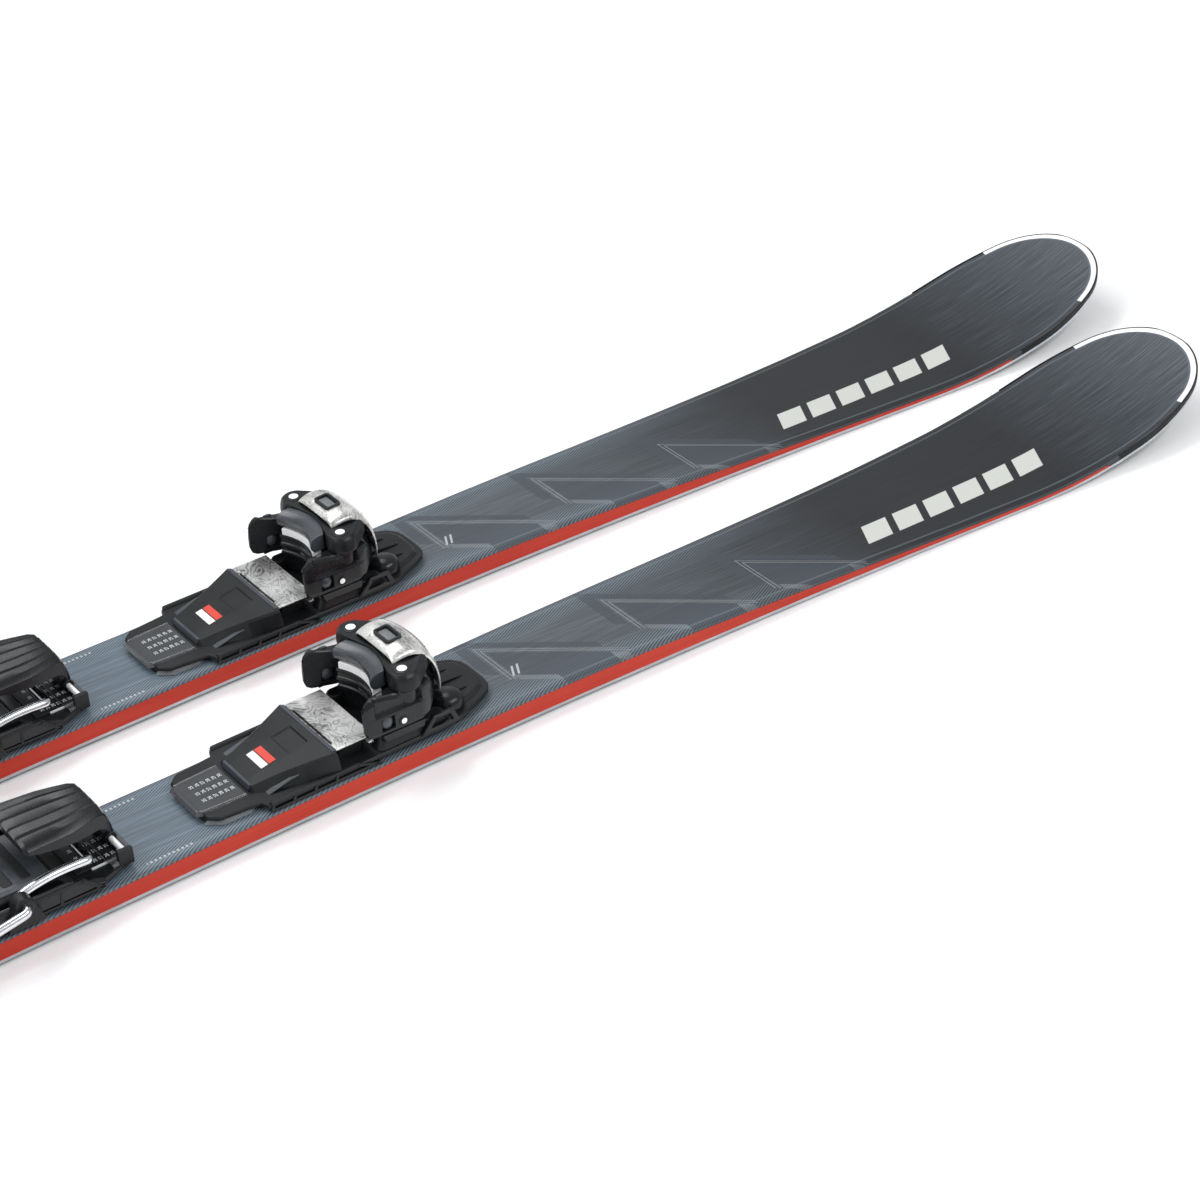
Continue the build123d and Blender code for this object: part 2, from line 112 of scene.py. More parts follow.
def build_studio():
    scene = bpy.context.scene
    scene.view_settings.view_transform = "Standard"
    world = bpy.data.worlds.new("studio")
    world.use_nodes = True
    world.node_tree.nodes["Background"].inputs["Color"].default_value = (0.93, 0.96, 1.0, 1)
    world.node_tree.nodes["Background"].inputs["Strength"].default_value = 0.56
    scene.world = world
    area_light("key", (0.9, -1.7, 2.1), (0, 0, 0), (2.0, 1.0), 38)
    area_light("top", (-0.4, 1.1, 2.3), (0, 0, 0), (3.0, 0.8), 40)
    area_light("rear", (-2.2, -0.4, 1.4), (-0.2, 0, 0), (0.9, 1.6), 16)
    mesh = bpy.data.meshes.new("floor")
    mesh.from_pydata([(-6, -6, 0), (6, -6, 0), (6, 6, 0), (-6, 6, 0)], [], [(0, 1, 2, 3)])
    floor = bpy.data.objects.new("floor", mesh)
    floor.location.z = -0.0004
    scene.collection.objects.link(floor)
    look = bpy.data.materials.new("floor")
    look.use_nodes = True
    shader = look.node_tree.nodes["Principled BSDF"]
    shader.inputs["Base Color"].default_value = (0.93, 0.93, 0.93, 1)
    shader.inputs["Roughness"].default_value = 0.75
    shader.inputs["Specular IOR Level"].default_value = 0.2
    floor.data.materials.append(look)


# --- material nodes -------------------------------------------------------------------------------
class Look:
    """A material under construction, with short calls for the nodes it is made of."""

    def __init__(self, name, **sockets):
        self.material = bpy.data.materials.new(name)
        self.material.use_nodes = True
        self.tree = self.material.node_tree
        self.shader = self.tree.nodes["Principled BSDF"]
        for key, value in sockets.items():
            self.shader.inputs[key.replace("_", " ")].default_value = value

    def node(self, kind, inputs=(), **settings):
        node = self.tree.nodes.new("ShaderNode" + kind)
        for key, value in settings.items():
            setattr(node, key, value)
        for key, value in dict(inputs).items():
            self.put(value, node.inputs[key])
        return node

    def put(self, value, socket):
        if isinstance(value, bpy.types.NodeSocket):
            self.tree.links.new(value, socket)
        else:
            socket.default_value = value

    def math(self, operation, a, b=0.0):
        return self.node("Math", {0: a, 1: b}, operation=operation).outputs[0]

    def span(self, value, low, high, to_low=0.0, to_high=1.0):
        """value mapped linearly and clamped from low..high to to_low..to_high."""
        node = self.node("MapRange", {0: value, 1: low, 2: high, 3: to_low, 4: to_high})
        return node.outputs[0]

    def mix(self, share, a, b, blend="MIX"):
        node = self.node("Mix", {0: share, 6: a, 7: b}, data_type="RGBA", blend_type=blend)
        return node.outputs[2]

    def ramp(self, value, stops):
        node = self.node("ValToRGB", {0: value})
        band = node.color_ramp
        while len(band.elements) < len(stops):
            band.elements.new(0.5)
        for element, (place, colour) in zip(band.elements, stops):
            element.position, element.color = place, (*colour, 1)
        return node.outputs[0]

    def place(self, scale=(1, 1, 1), turn=(0, 0, 0)):
        point = self.node("TexCoord").outputs["Object"]
        return self.node("Mapping", {0: point, 2: tuple(math.radians(t) for t in turn), 3: scale}).outputs[0]

    def noise(self, scale, detail=3.0, rough=0.55, vector=None, distortion=0.0):
        vector = vector or self.place()
        node = self.node("TexNoise", {"Vector": vector, "Scale": scale, "Detail": detail,
                                      "Roughness": rough, "Distortion": distortion})
        return node.outputs[0]

    def bump(self, height, strength, distance=0.0004):
        node = self.node("Bump", {"Height": height, "Strength": strength, "Distance": distance})
        self.put(node.outputs[0], self.shader.inputs["Normal"])

    def colour(self, value):
        self.put(value, self.shader.inputs["Base Color"])

    def roughness(self, value):
        self.put(value, self.shader.inputs["Roughness"])


def moulded(name, dark, light, rough, grain=1500.0, bump=0.12, specular=0.5, coat=0.0):
    """Moulded plastic: fine spark-eroded grain, slow mottling and a little uneven gloss."""
    look = Look(name, Specular_IOR_Level=specular, Coat_Weight=coat, Coat_Roughness=0.12)
    slow = look.noise(34.0, 4.0)
    fine = look.noise(grain, 2.0, 0.6)
    look.colour(look.mix(look.span(slow, 0.35, 0.68), (*dark, 1), (*light, 1)))
    look.roughness(look.math("ADD", look.span(slow, 0.3, 0.7, rough - 0.05, rough + 0.06),
                             look.span(fine, 0.3, 0.7, -0.05, 0.05)))
    look.bump(fine, bump, 0.00012)
    return look.material


def metal(name, base, rough, scale=(1, 1, 1), spread=0.08, bump=0.04, grain=700.0):
    """Metal with drawn or ground streaks."""
    look = Look(name, Metallic=1.0)
    streak = look.noise(grain, 4.0, 0.6, look.place(scale))
    tone = look.noise(60.0, 3.0)
    low = tuple(0.78 * c for c in base)
    look.colour(look.mix(look.span(tone, 0.3, 0.7), (*low, 1), (*base, 1)))
    look.roughness(look.span(streak, 0.3, 0.7, max(0.03, rough - spread), rough + spread))
    look.bump(streak, bump, 0.00008)
    return look.material


def contour_foil(name, pale, dark, scale, rough):
    """Silver film with fine dark contour lines, like a map's, and slow dark clouds of painted shade."""
    look = Look(name, Metallic=0.5, Coat_Weight=0.4, Coat_Roughness=0.12)
    point = look.place((1.0, 0.42, 1.0), (0, 0, 24))
    field = look.noise(scale, 4.0, 0.55, point, 0.8)
    bands = look.math("ABSOLUTE", look.math("SUBTRACT", look.math("FRACT",
                                                                  look.math("MULTIPLY", field, 30.0)), 0.5))
    line = look.span(bands, 0.06, 0.26, 1.0, 0.0)
    # slow dark clouds: painted shade on the silver film; the same clouds also set how strong the printed
    # contour lines are
    cloud = look.noise(scale * 1.3, 3.0, 0.6)
    shade = look.span(cloud, 0.42, 0.66, 0.0, 0.8)
    base = look.mix(shade, (*pale, 1), (*(0.26 * c for c in pale), 1))
    strength = look.span(cloud, 0.38, 0.60, 0.25, 0.9)
    look.colour(look.mix(look.math("MULTIPLY", line, strength), base, (*dark, 1)))
    look.roughness(look.span(field, 0.3, 0.7, rough - 0.06, rough + 0.08))
    look.bump(bands, 0.22, 0.00012)
    return look.material


def sidewall_red():
    look = Look("sidewall_red", Specular_IOR_Level=0.22)
    streak = look.noise(160.0, 4.0, 0.6, look.place((0.05, 1, 3)))
    slow = look.noise(5.0, 2.0)
    deep = look.mix(look.span(slow, 0.3, 0.7), (0.40, 0.022, 0.010, 1), (0.47, 0.034, 0.016, 1))
    look.colour(look.mix(look.span(streak, 0.45, 0.8, 0.0, 0.25), deep, (0.62, 0.085, 0.045, 1)))
    look.roughness(look.span(streak, 0.3, 0.7, 0.3, 0.44))
    look.bump(streak, 0.05, 0.0001)
    return look.material


def base_plastic():
    """The running surface: sintered plastic with a stone-ground structure."""
    look = Look("base_plastic", Specular_IOR_Level=0.4)
    line = look.noise(500.0, 3.0, 0.5, look.place((0.02, 1, 1)))
    fleck = look.noise(900.0, 1.0)
    look.colour(look.mix(look.span(fleck, 0.55, 0.75), (0.012, 0.012, 0.014, 1), (0.03, 0.03, 0.033, 1)))
    look.roughness(look.span(line, 0.3, 0.7, 0.34, 0.5))
    look.bump(line, 0.2, 0.0001)
    return look.material


def smoked(name, tint, alpha, rough=0.12):
    look = Look(name, Specular_IOR_Level=0.8, IOR=1.49, Alpha=alpha, Coat_Weight=0.6, Coat_Roughness=0.06)
    haze = look.noise(80.0, 3.0)
    look.colour(look.mix(look.span(haze, 0.3, 0.7), (*tint, 1), (*(0.7 * c for c in tint), 1)))
    look.roughness(look.span(haze, 0.3, 0.7, rough, rough + 0.1))
    look.material.surface_render_method = "BLENDED"
    return look.material


def wood_core():
    look = Look("core_wood")
    grain = look.noise(60.0, 5.0, 0.6, look.place((0.04, 1, 1)), 0.4)
    look.colour(look.ramp(grain, [(0.3, (0.42, 0.26, 0.12)), (0.7, (0.62, 0.44, 0.25))]))
    look.roughness(look.span(grain, 0.3, 0.7, 0.55, 0.75))
    return look.material


CHEVRONS = ((163.0, 46.0, 78.0), (262.0, 41.0, 78.5), (362.5, 25.5, 68.0))  # corner x, corner y, length
CHEVRON_SLOPE = 0.78
TONES = [  # along the ski, -780 mm to 780 mm as 0..1
    (0.0, (0.012, 0.014, 0.017)), (0.16, (0.030, 0.036, 0.043)), (0.30, (0.085, 0.112, 0.140)),
    (0.47, (0.098, 0.130, 0.160)), (0.56, (0.080, 0.096, 0.110)), (0.66, (0.062, 0.068, 0.073)),
    (0.74, (0.030, 0.033, 0.037)), (0.80, (0.010, 0.011, 0.013)), (0.90, (0.008, 0.009, 0.011)),
    (0.95, (0.030, 0.036, 0.042)), (1.0, (0.060, 0.072, 0.084)),
]


def topsheet_look():
    """The printed top: long tones, brushed streaks whose bright parts toward the tip are painted highlights,
    a fine twill, three chevrons and plain bars.
    """
    look = Look("topsheet", Specular_IOR_Level=0.42, Coat_Weight=0.06, Coat_Roughness=0.35)
    along = look.node("UVMap", uv_map="ski").outputs[0]
    split = look.node("SeparateXYZ", {0: along})
    u = look.math("MULTIPLY", split.outputs[0], 1000.0)
    v = look.math("MULTIPLY", split.outputs[1], 1000.0)
    rim = look.node("SeparateXYZ", {0: look.node("UVMap", uv_map="rim").outputs[0]})
    edge = look.math("MULTIPLY", rim.outputs[0], 1000.0)

    def inside(value, low, high, soft=0.25):
        rise = look.span(value, low - soft, low + soft)
        fall = look.span(value, high - soft, high + soft, 1.0, 0.0)
        return look.math("MULTIPLY", rise, fall)

    def both(*masks):
        result = masks[0]
        for mask in masks[1:]:
            result = look.math("MULTIPLY", result, mask)
        return result

    def either(*masks):
        result = masks[0]
        for mask in masks[1:]:
            result = look.math("MAXIMUM", result, mask)
        return result

    mm = look.node("CombineXYZ", {0: u, 1: v}).outputs[0]

    def stretched(sx, sy, turn):
        return look.node("Mapping", {0: mm, 2: (0, 0, math.radians(turn)), 3: (sx, sy, 1)}).outputs[0]

    tone = look.ramp(look.span(u, -780.0, 780.0), TONES)
    streak = look.noise(1.0, 5.0, 0.65, stretched(0.022, 0.9, 0))
    cross = look.noise(1.0, 4.0, 0.6, stretched(0.016, 0.62, 12))
    tip = look.span(u, 430.0, 620.0)
    brushed = look.mix(tip, cross, streak)
    # the brushed streaks are multiplied into the colour, up to 2.3 times brighter and strongest toward the
    # tip: real brushed print, plus painted highlights standing in for the sheen on the upturned tip
    streak_and_glint_share = look.span(u, 430.0, 680.0, 0.65, 1.0)
    tone = look.mix(streak_and_glint_share, tone, look.mix(1.0, tone, look.ramp(brushed, [
        (0.30, (0.42, 0.42, 0.43)), (0.5, (1.0, 1.0, 1.0)), (0.72, (2.3, 2.35, 2.4))]), "MULTIPLY"))
    # fine twill near the edges and around the bindings
    twill_wave = look.math("SINE", look.math("MULTIPLY", look.math("SUBTRACT", v,
                                                                   look.math("MULTIPLY", u, 0.53)), 3.1))
    far_from_tip = look.span(u, 300.0, 460.0, 1.0, 0.0)
    near_edge = look.span(edge, 8.0, 24.0, 1.0, 0.22)
    twill = both(look.span(twill_wave, -0.4, 0.5), near_edge, far_from_tip)
    tone = look.mix(look.math("MULTIPLY", twill, 0.6), tone, (0.20, 0.26, 0.31, 1))
    seam = both(look.span(twill_wave, -0.5, 0.4, 1.0, 0.0), near_edge, far_from_tip)
    tone = look.mix(look.math("MULTIPLY", seam, 0.6), tone, (0.016, 0.021, 0.028, 1))
    dark, pale, thin = [], [], []
    for x0, y0, length in CHEVRONS:
        t = look.math("SUBTRACT", u, x0)
        depth = look.math("SUBTRACT", look.math("SUBTRACT", y0, look.math("MULTIPLY", t, CHEVRON_SLOPE)), v)
        dark.append(both(inside(depth, 0.0, 7.4), inside(t, 0.0, length)))
        dark.append(both(inside(t, 0.0, 8.3), inside(depth, 0.0, 46.5)))
        deep = either(inside(depth, 14.6, 46.8), both(inside(depth, 14.6, 90.0), inside(t, 37.0, 200.0)))
        dark.append(both(deep, inside(t, 15.0, length)))
        pale.append(both(inside(depth, 46.8, 53.0), inside(t, 15.0, 37.0)))
        pale.append(both(inside(depth, 14.6, 24.0), inside(t, length, length + 9.0)))
        for offset in (9.2, 11.8):
            thin.append(both(inside(depth, offset, offset + 0.8), inside(t, offset + 1.0, length + 12.0)))
            thin.append(both(inside(t, offset + 1.0, offset + 1.8), inside(depth, offset, 53.0)))
    tone = look.mix(look.math("MULTIPLY", either(*dark), 0.68), tone, (0.040, 0.048, 0.062, 1))
    tone = look.mix(look.math("MULTIPLY", either(*pale), 0.4), tone, (0.20, 0.22, 0.235, 1))
    tone = look.mix(look.math("MULTIPLY", either(*thin), 0.6), tone, (0.26, 0.28, 0.30, 1))
    # a plain row of slanted bars, and two small ticks near the binding
    slant = look.math("SUBTRACT", u, look.math("MULTIPLY", v, 0.5))
    pitch = look.math("FRACT", look.math("DIVIDE", look.math("SUBTRACT", slant, 474.0), 28.0))
    bars = [both(inside(pitch, 0.0, 0.78, 0.008), inside(slant, 474.0, 640.0), inside(v, -31.0, -11.0))]
    speck = look.noise(2.2, 2.0, 0.6, mm)
    tone = look.mix(either(*bars), tone, look.mix(look.span(speck, 0.4, 0.7), (0.56, 0.57, 0.53, 1),
                                                  (0.47, 0.48, 0.45, 1)))
    ticks = [both(inside(slant, 183.0, 184.6), inside(v, -13.0, -3.0)),
             both(inside(slant, 187.0, 188.6), inside(v, -13.0, -3.0))]
    for low, high, at in ((-98.0, -66.0, -31.0), (-96.0, -72.0, 30.0)):
        dash = look.span(look.math("SINE", look.math("MULTIPLY", u, 2.1)), -0.1, 0.1)
        ticks.append(both(inside(u, low, high), inside(v, at - 0.9, at + 0.9), dash))
    tone = look.mix(look.math("MULTIPLY", either(*ticks), 0.8), tone, (0.50, 0.52, 0.52, 1))
    shoulder = inside(edge, 5.2, 6.4, 0.6)
    tone = look.mix(look.math("MULTIPLY", shoulder, 0.35), tone, (0.20, 0.23, 0.26, 1))
    rim_dark = look.span(edge, 0.3, 3.2, 1.0, 0.0)
    tone = look.mix(look.math("MULTIPLY", rim_dark, 0.5), tone, (0.020, 0.023, 0.028, 1))
    look.colour(tone)
    look.roughness(look.math("ADD", look.span(brushed, 0.3, 0.7, 0.34, 0.50),
                             look.math("MULTIPLY", twill, 0.06)))
    height = look.math("ADD", look.math("MULTIPLY", brushed, 0.5), look.math("MULTIPLY", twill, 0.5))
    look.bump(height, 0.22, 0.00012)
    return look.material


M = {
    "topsheet": topsheet_look(),
    "sidewall": sidewall_red(),
    "base": base_plastic(),
    "edge": metal("edge_steel", (0.56, 0.58, 0.61), 0.28, (0.05, 1, 1)),
    "core": wood_core(),
    "guard": moulded("guard_silver", (0.80, 0.81, 0.82), (0.88, 0.88, 0.88), 0.3, 900.0, 0.01, 0.8, 0.3),
    "rail": moulded("rail_plastic", (0.0060, 0.0064, 0.0070), (0.0120, 0.0125, 0.0135), 0.44, 1700.0, 0.06,
                    0.3),
    "black": moulded("binding_plastic", (0.0060, 0.0066, 0.0075), (0.0115, 0.0125, 0.0140), 0.38, 1700.0,
                     0.05, 0.27),
    "wing": moulded("wing_plastic", (0.0050, 0.0056, 0.0065), (0.0100, 0.0110, 0.0125), 0.27, 1700.0, 0.03,
                    0.34),
    "grey": moulded("stop_plastic", (0.030, 0.034, 0.040), (0.052, 0.058, 0.066), 0.26, 1500.0, 0.02, 0.6),
    "lip": moulded("lip_plastic", (0.032, 0.038, 0.047), (0.050, 0.058, 0.070), 0.33, 1500.0, 0.03),
    "white": moulded("bright_strip", (0.80, 0.80, 0.79), (0.88, 0.88, 0.87), 0.3, 900.0, 0.02),
    "red": moulded("red_print", (0.60, 0.030, 0.016), (0.66, 0.045, 0.022), 0.4, 900.0, 0.02),
    "foil": contour_foil("cover_foil", (0.78, 0.77, 0.74), (0.16, 0.15, 0.14), 36.0, 0.24),
    "gliding": contour_foil("gliding_foil", (0.74, 0.74, 0.72), (0.09, 0.09, 0.09), 30.0, 0.28),
    "screw": metal("screw_steel", (0.45, 0.46, 0.48), 0.3),
    # near-white diffuse colour on the steel pins: painted reflection, standing in for the bright shine of
    # polished metal
    "pin": moulded("pin_steel", (0.90, 0.90, 0.91), (0.95, 0.95, 0.95), 0.22, 900.0, 0.01, 0.9, 0.4),
    "spring": metal("spring_steel", (0.42, 0.43, 0.45), 0.3),
    "wire": metal("brake_chrome", (0.80, 0.81, 0.83), 0.17, (1, 1, 1), 0.03, 0.0, 60.0),
    "smoked": smoked("smoked_clear", (0.10, 0.105, 0.11), 0.5),
    "clear": smoked("clear_edge", (0.30, 0.31, 0.32), 0.5),
    "print": moulded("scale_print", (0.62, 0.64, 0.65), (0.70, 0.72, 0.73), 0.5, 900.0, 0.01),
}


# --- mesh helpers ---------------------------------------------------------------------------------
SLOT = {  # the record's slot for each look, where a call names no other
    "topsheet": "topsheet", "guard": "guard_silver", "rail": "rail_black", "black": "binding_black",
    "wing": "binding_black", "grey": "stop_grey", "lip": "stop_grey", "white": "silver_plastic",
    "foil": "silver_plastic", "gliding": "afd_silver", "pin": "pin_steel", "wire": "brake_chrome",
    "smoked": "smoked_clear", "clear": "smoked_clear", "print": "smoked_clear",
}


def add_piece(name, side, verts, faces, body, look, replaces=(), slot=None, bevel=0.0, subdivide=0,
              angle=32.0, uv=None, thick=0.0):
    """A mesh in one ski's own frame, in millimetres, placed on that ski and riding on one of its bodies."""
    mesh = bpy.data.meshes.new(f"{side}_{name}")
    mesh.from_pydata([Vector(v) * MM + ORIGIN[side] for v in verts], [], faces)
    for key, values in (uv or {}).items():
        layer = mesh.uv_layers.new(name=key)
        for loop in mesh.loops:
            layer.data[loop.index].uv = values[loop.vertex_index]
    work = bmesh.new()
    work.from_mesh(mesh)
    bmesh.ops.remove_doubles(work, verts=work.verts, dist=1e-6)
    bmesh.ops.recalc_face_normals(work, faces=work.faces)
    work.to_mesh(mesh)
    work.free()
    piece = bpy.data.objects.new(f"{side}_{name}", mesh)
    bpy.context.scene.collection.objects.link(piece)
    if thick:
        step = piece.modifiers.new("thick", "SOLIDIFY")
        step.thickness, step.offset = thick * MM, 0.0
    finish_piece(piece, side, body, look, replaces, slot, bevel, subdivide, angle)


def finish_piece(piece, side, body, look, replaces=(), slot=None, bevel=0.0, subdivide=0, angle=32.0):
    if bevel:
        step = piece.modifiers.new("bevel", "BEVEL")
        step.width, step.segments, step.limit_method = bevel * MM, 2, "ANGLE"
        step.angle_limit, step.use_clamp_overlap = math.radians(angle), True
    if subdivide:
        step = piece.modifiers.new("round", "SUBSURF")
        step.levels = step.render_levels = subdivide
    if piece.type == "MESH":
        piece.data.shade_smooth()
        if not subdivide:
            piece.data.set_sharp_from_angle(angle=math.radians(38))
            if bevel:
                piece.modifiers.new("normals", "WEIGHTED_NORMAL").keep_sharp = True
    piece.data.materials.append(M[look])
    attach(piece, f"{side}_{body}")
    slot or SLOT[look]
    if replaces:
        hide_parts(*(f"{side}_{node}" for node in replaces))


def rings(loops):
    """Vertices and faces of a skin over loops of equal length."""
    count = len(loops[0])
    verts = [p for loop in loops for p in loop]
    faces = []
    for i in range(len(loops) - 1):
        for j in range(count):
            k = (j + 1) % count
            faces.append((i * count + j, i * count + k, (i + 1) * count + k, (i + 1) * count + j))
    faces.append(tuple(range(count))[::-1])
    faces.append(tuple(range((len(loops) - 1) * count, len(loops) * count)))
    return verts, faces


def merge(*parts):
    verts, faces = [], []
    for part_verts, part_faces in parts:
        base = len(verts)
        verts += part_verts
        faces += [tuple(base + i for i in face) for face in part_faces]
    return verts, faces


def slab(points, low, high, top=None):
    """A polygon of (x, y) points raised from low to high; top may give other points at high."""
    return rings([[(x, y, low) for x, y in points], [(x, y, high) for x, y in (top or points)]])


def plank(points, y0, y1):
    """A polygon of (x, z) points across y."""
    return rings([[(x, y0, z) for x, z in points], [(x, y1, z) for x, z in points]])


def box(x0, x1, y0, y1, z0, z1):
    return slab([(x0, y0), (x1, y0), (x1, y1), (x0, y1)], z0, z1)


def shrink(points, amount):
    """The points drawn towards their middle by about amount."""
    cx = sum(p[0] for p in points) / len(points)
    cy = sum(p[1] for p in points) / len(points)
    out = []
    for x, y in points:
        length = math.hypot(x - cx, y - cy) or 1.0
        out.append((x - (x - cx) / length * amount, y - (y - cy) / length * amount))
    return out


def lathe(profile, centre, axis="z", count=32):
    """A turned piece from (radius, height) points about an axis through centre."""
    loops = []
    for radius, height in profile:
        loop = []
        for i in range(count):
            a = 2 * math.pi * i / count
            p, q = radius * math.cos(a), radius * math.sin(a)
            loop.append({"z": (centre[0] + p, centre[1] + q, height),
                         "y": (centre[0] + p, height, centre[2] + q),
                         "x": (height, centre[1] + p, centre[2] + q)}[axis])
        loops.append(loop)
    return rings(loops)


def mirrored(points):
    """Points of the +Y half, followed by their mirror images in reverse order."""
    return points + [(x, -y) for x, y in reversed(points)]


HANDS = {"right": -1, "left": 1}


def aside(hand, points):
    """The points with their second value taken to the hand's side."""
    return [(p, hand * q) for p, q in points]


def between(hand, near, far):
    return sorted((hand * near, hand * far))


def hump(foot, drop, cut, stations):
    """A block over (x, half-width, top) stations, its top edges cut off by cut across and drop down."""
    return rings([[(x, -half, foot), (x, -half, high - drop), (x, -half + cut, high), (x, half - cut, high),
                   (x, half, high - drop), (x, half, foot)] for x, half, high in stations])


def tube(name, side, points, radius, body, look, replaces=()):
    """A round wire along a smooth curve."""
    curve = bpy.data.curves.new(f"{side}_{name}", "CURVE")
    curve.dimensions, curve.bevel_depth, curve.bevel_resolution = "3D", radius * MM, 6
    curve.resolution_u, curve.use_fill_caps = 10, True
    spline = curve.splines.new("NURBS")
    spline.points.add(len(points) - 1)
    for point, place in zip(spline.points, points):
        point.co = (*(Vector(place) * MM + ORIGIN[side]), 1)
    spline.order_u, spline.use_endpoint_u = 3, True
    piece = bpy.data.objects.new(f"{side}_{name}", curve)
    bpy.context.scene.collection.objects.link(piece)
    finish_piece(piece, side, body, look, replaces)


build_camera()
build_studio()


# --- the ski --------------------------------------------------------------------------------------
HALF = 780.0
WAIST_X, WAIST = -20.0, 37.5
TIP_WIDEST, TIP_HALF, NOSE = HALF - 94.0, 62.0, 56.0
BLEND = TIP_WIDEST - 86.0
TAIL_WIDEST, TAIL_HALF, CORNER = -HALF + 55.0, 52.0, 38.0


def arc_through(a, b, c, count):
    """Points on the circle through three points, from a to c."""
    d = 2 * (a[0] * (b[1] - c[1]) + b[0] * (c[1] - a[1]) + c[0] * (a[1] - b[1]))
    sa, sb, sc = (p[0] ** 2 + p[1] ** 2 for p in (a, b, c))
    ux = (sa * (b[1] - c[1]) + sb * (c[1] - a[1]) + sc * (a[1] - b[1])) / d
    uy = (sa * (c[0] - b[0]) + sb * (a[0] - c[0]) + sc * (b[0] - a[0])) / d
    start, end = math.atan2(a[1] - uy, a[0] - ux), math.atan2(c[1] - uy, c[0] - ux)
    while end - start > math.pi:
        end -= 2 * math.pi
    while end - start < -math.pi:
        end += 2 * math.pi
    radius = math.hypot(a[0] - ux, a[1] - uy)
    return [(ux + radius * math.cos(start + (end - start) * i / count),
             uy + radius * math.sin(start + (end - start) * i / count)) for i in range(count + 1)]


def half_outline():
    """The plan outline's +Y half, from the nose round to the tail's corner."""
    reach = HALF - TIP_WIDEST
    big = (TIP_HALF**2 + (reach - NOSE) ** 2 - NOSE**2) / (2 * (TIP_HALF - NOSE))
    nose_x = HALF - NOSE
    run = math.hypot(nose_x - TIP_WIDEST, big - TIP_HALF)
    end = math.atan2(big - TIP_HALF, nose_x - TIP_WIDEST)
    points = [(nose_x + NOSE * math.cos(end * i / 22), NOSE * math.sin(end * i / 22)) for i in range(23)]
    join = (nose_x + NOSE * (nose_x - TIP_WIDEST) / run, NOSE * (big - TIP_HALF) / run)
    middle = (TIP_WIDEST + join[0]) / 2
    bulge = (middle, TIP_HALF - big + math.sqrt(big**2 - (middle - TIP_WIDEST) ** 2))
    points += arc_through(join, bulge, (TIP_WIDEST, TIP_HALF), 6)[1:]
    span = BLEND - WAIST_X
    depth = (TIP_HALF - WAIST) / (span**2 + (TIP_WIDEST - BLEND) * span)
    blend = (BLEND, WAIST + depth * span**2)
    points += arc_through((TIP_WIDEST, TIP_HALF), ((BLEND + TIP_WIDEST) / 2, (3 * TIP_HALF + blend[1]) / 4),
                          blend, 12)[1:]
    half_way = ((BLEND + WAIST_X) / 2, WAIST + depth * (span / 2) ** 2)
    points += arc_through(blend, half_way, (WAIST_X, WAIST), 40)[1:]
    tail_x = (TAIL_WIDEST + WAIST_X) / 2
    tail_mid = (tail_x, WAIST + (TAIL_HALF - WAIST) * ((tail_x - WAIST_X) / (TAIL_WIDEST - WAIST_X)) ** 2)
    points += arc_through((WAIST_X, WAIST), tail_mid, (TAIL_WIDEST, TAIL_HALF), 40)[1:]
    cx, cy = -HALF + CORNER, TAIL_HALF - CORNER
    points += [(cx - CORNER * math.sin(math.radians(9 * i)), cy + CORNER * math.cos(math.radians(9 * i)))
               for i in range(11)]
    return points


def inset(points, amount):
    """The half outline pulled in at right angles by amount."""
    out = []
    for i, (x, y) in enumerate(points):
        before = points[i - 1] if i else (x, -points[1][1])
        after = points[i + 1] if i + 1 < len(points) else (x, y - 1)
        dx, dy = after[0] - before[0], after[1] - before[1]
        length = math.hypot(dx, dy)
        out.append((x - dy / length * amount if i else x - amount, max(0.0, y - abs(dx) / length * amount)))
    return out


OUTLINE = half_outline()


def heights(side):
    """Functions for the top's and the base's height at x, read from the frame."""
    trees = []
    for names in (("topsheet", "end_guards"), ("running_base", "steel_edges")):
        work = bmesh.new()
        for name in names:
            work.from_mesh(NODES[f"{side}_{name}"].data)
        trees.append(BVHTree.FromBMesh(work))
        work.free()

    def probe(tree, x, start, direction):
        x = max(-HALF + 2.8, min(HALF - 2.8, x))
        hit = tree.ray_cast(Vector((x * MM, 0, start)) + ORIGIN[side], Vector((0, 0, direction)))[0]
        return hit.z / MM

    return lambda x: probe(trees[0], x, 0.3, -1), lambda x: probe(trees[1], x, -0.1, 1)


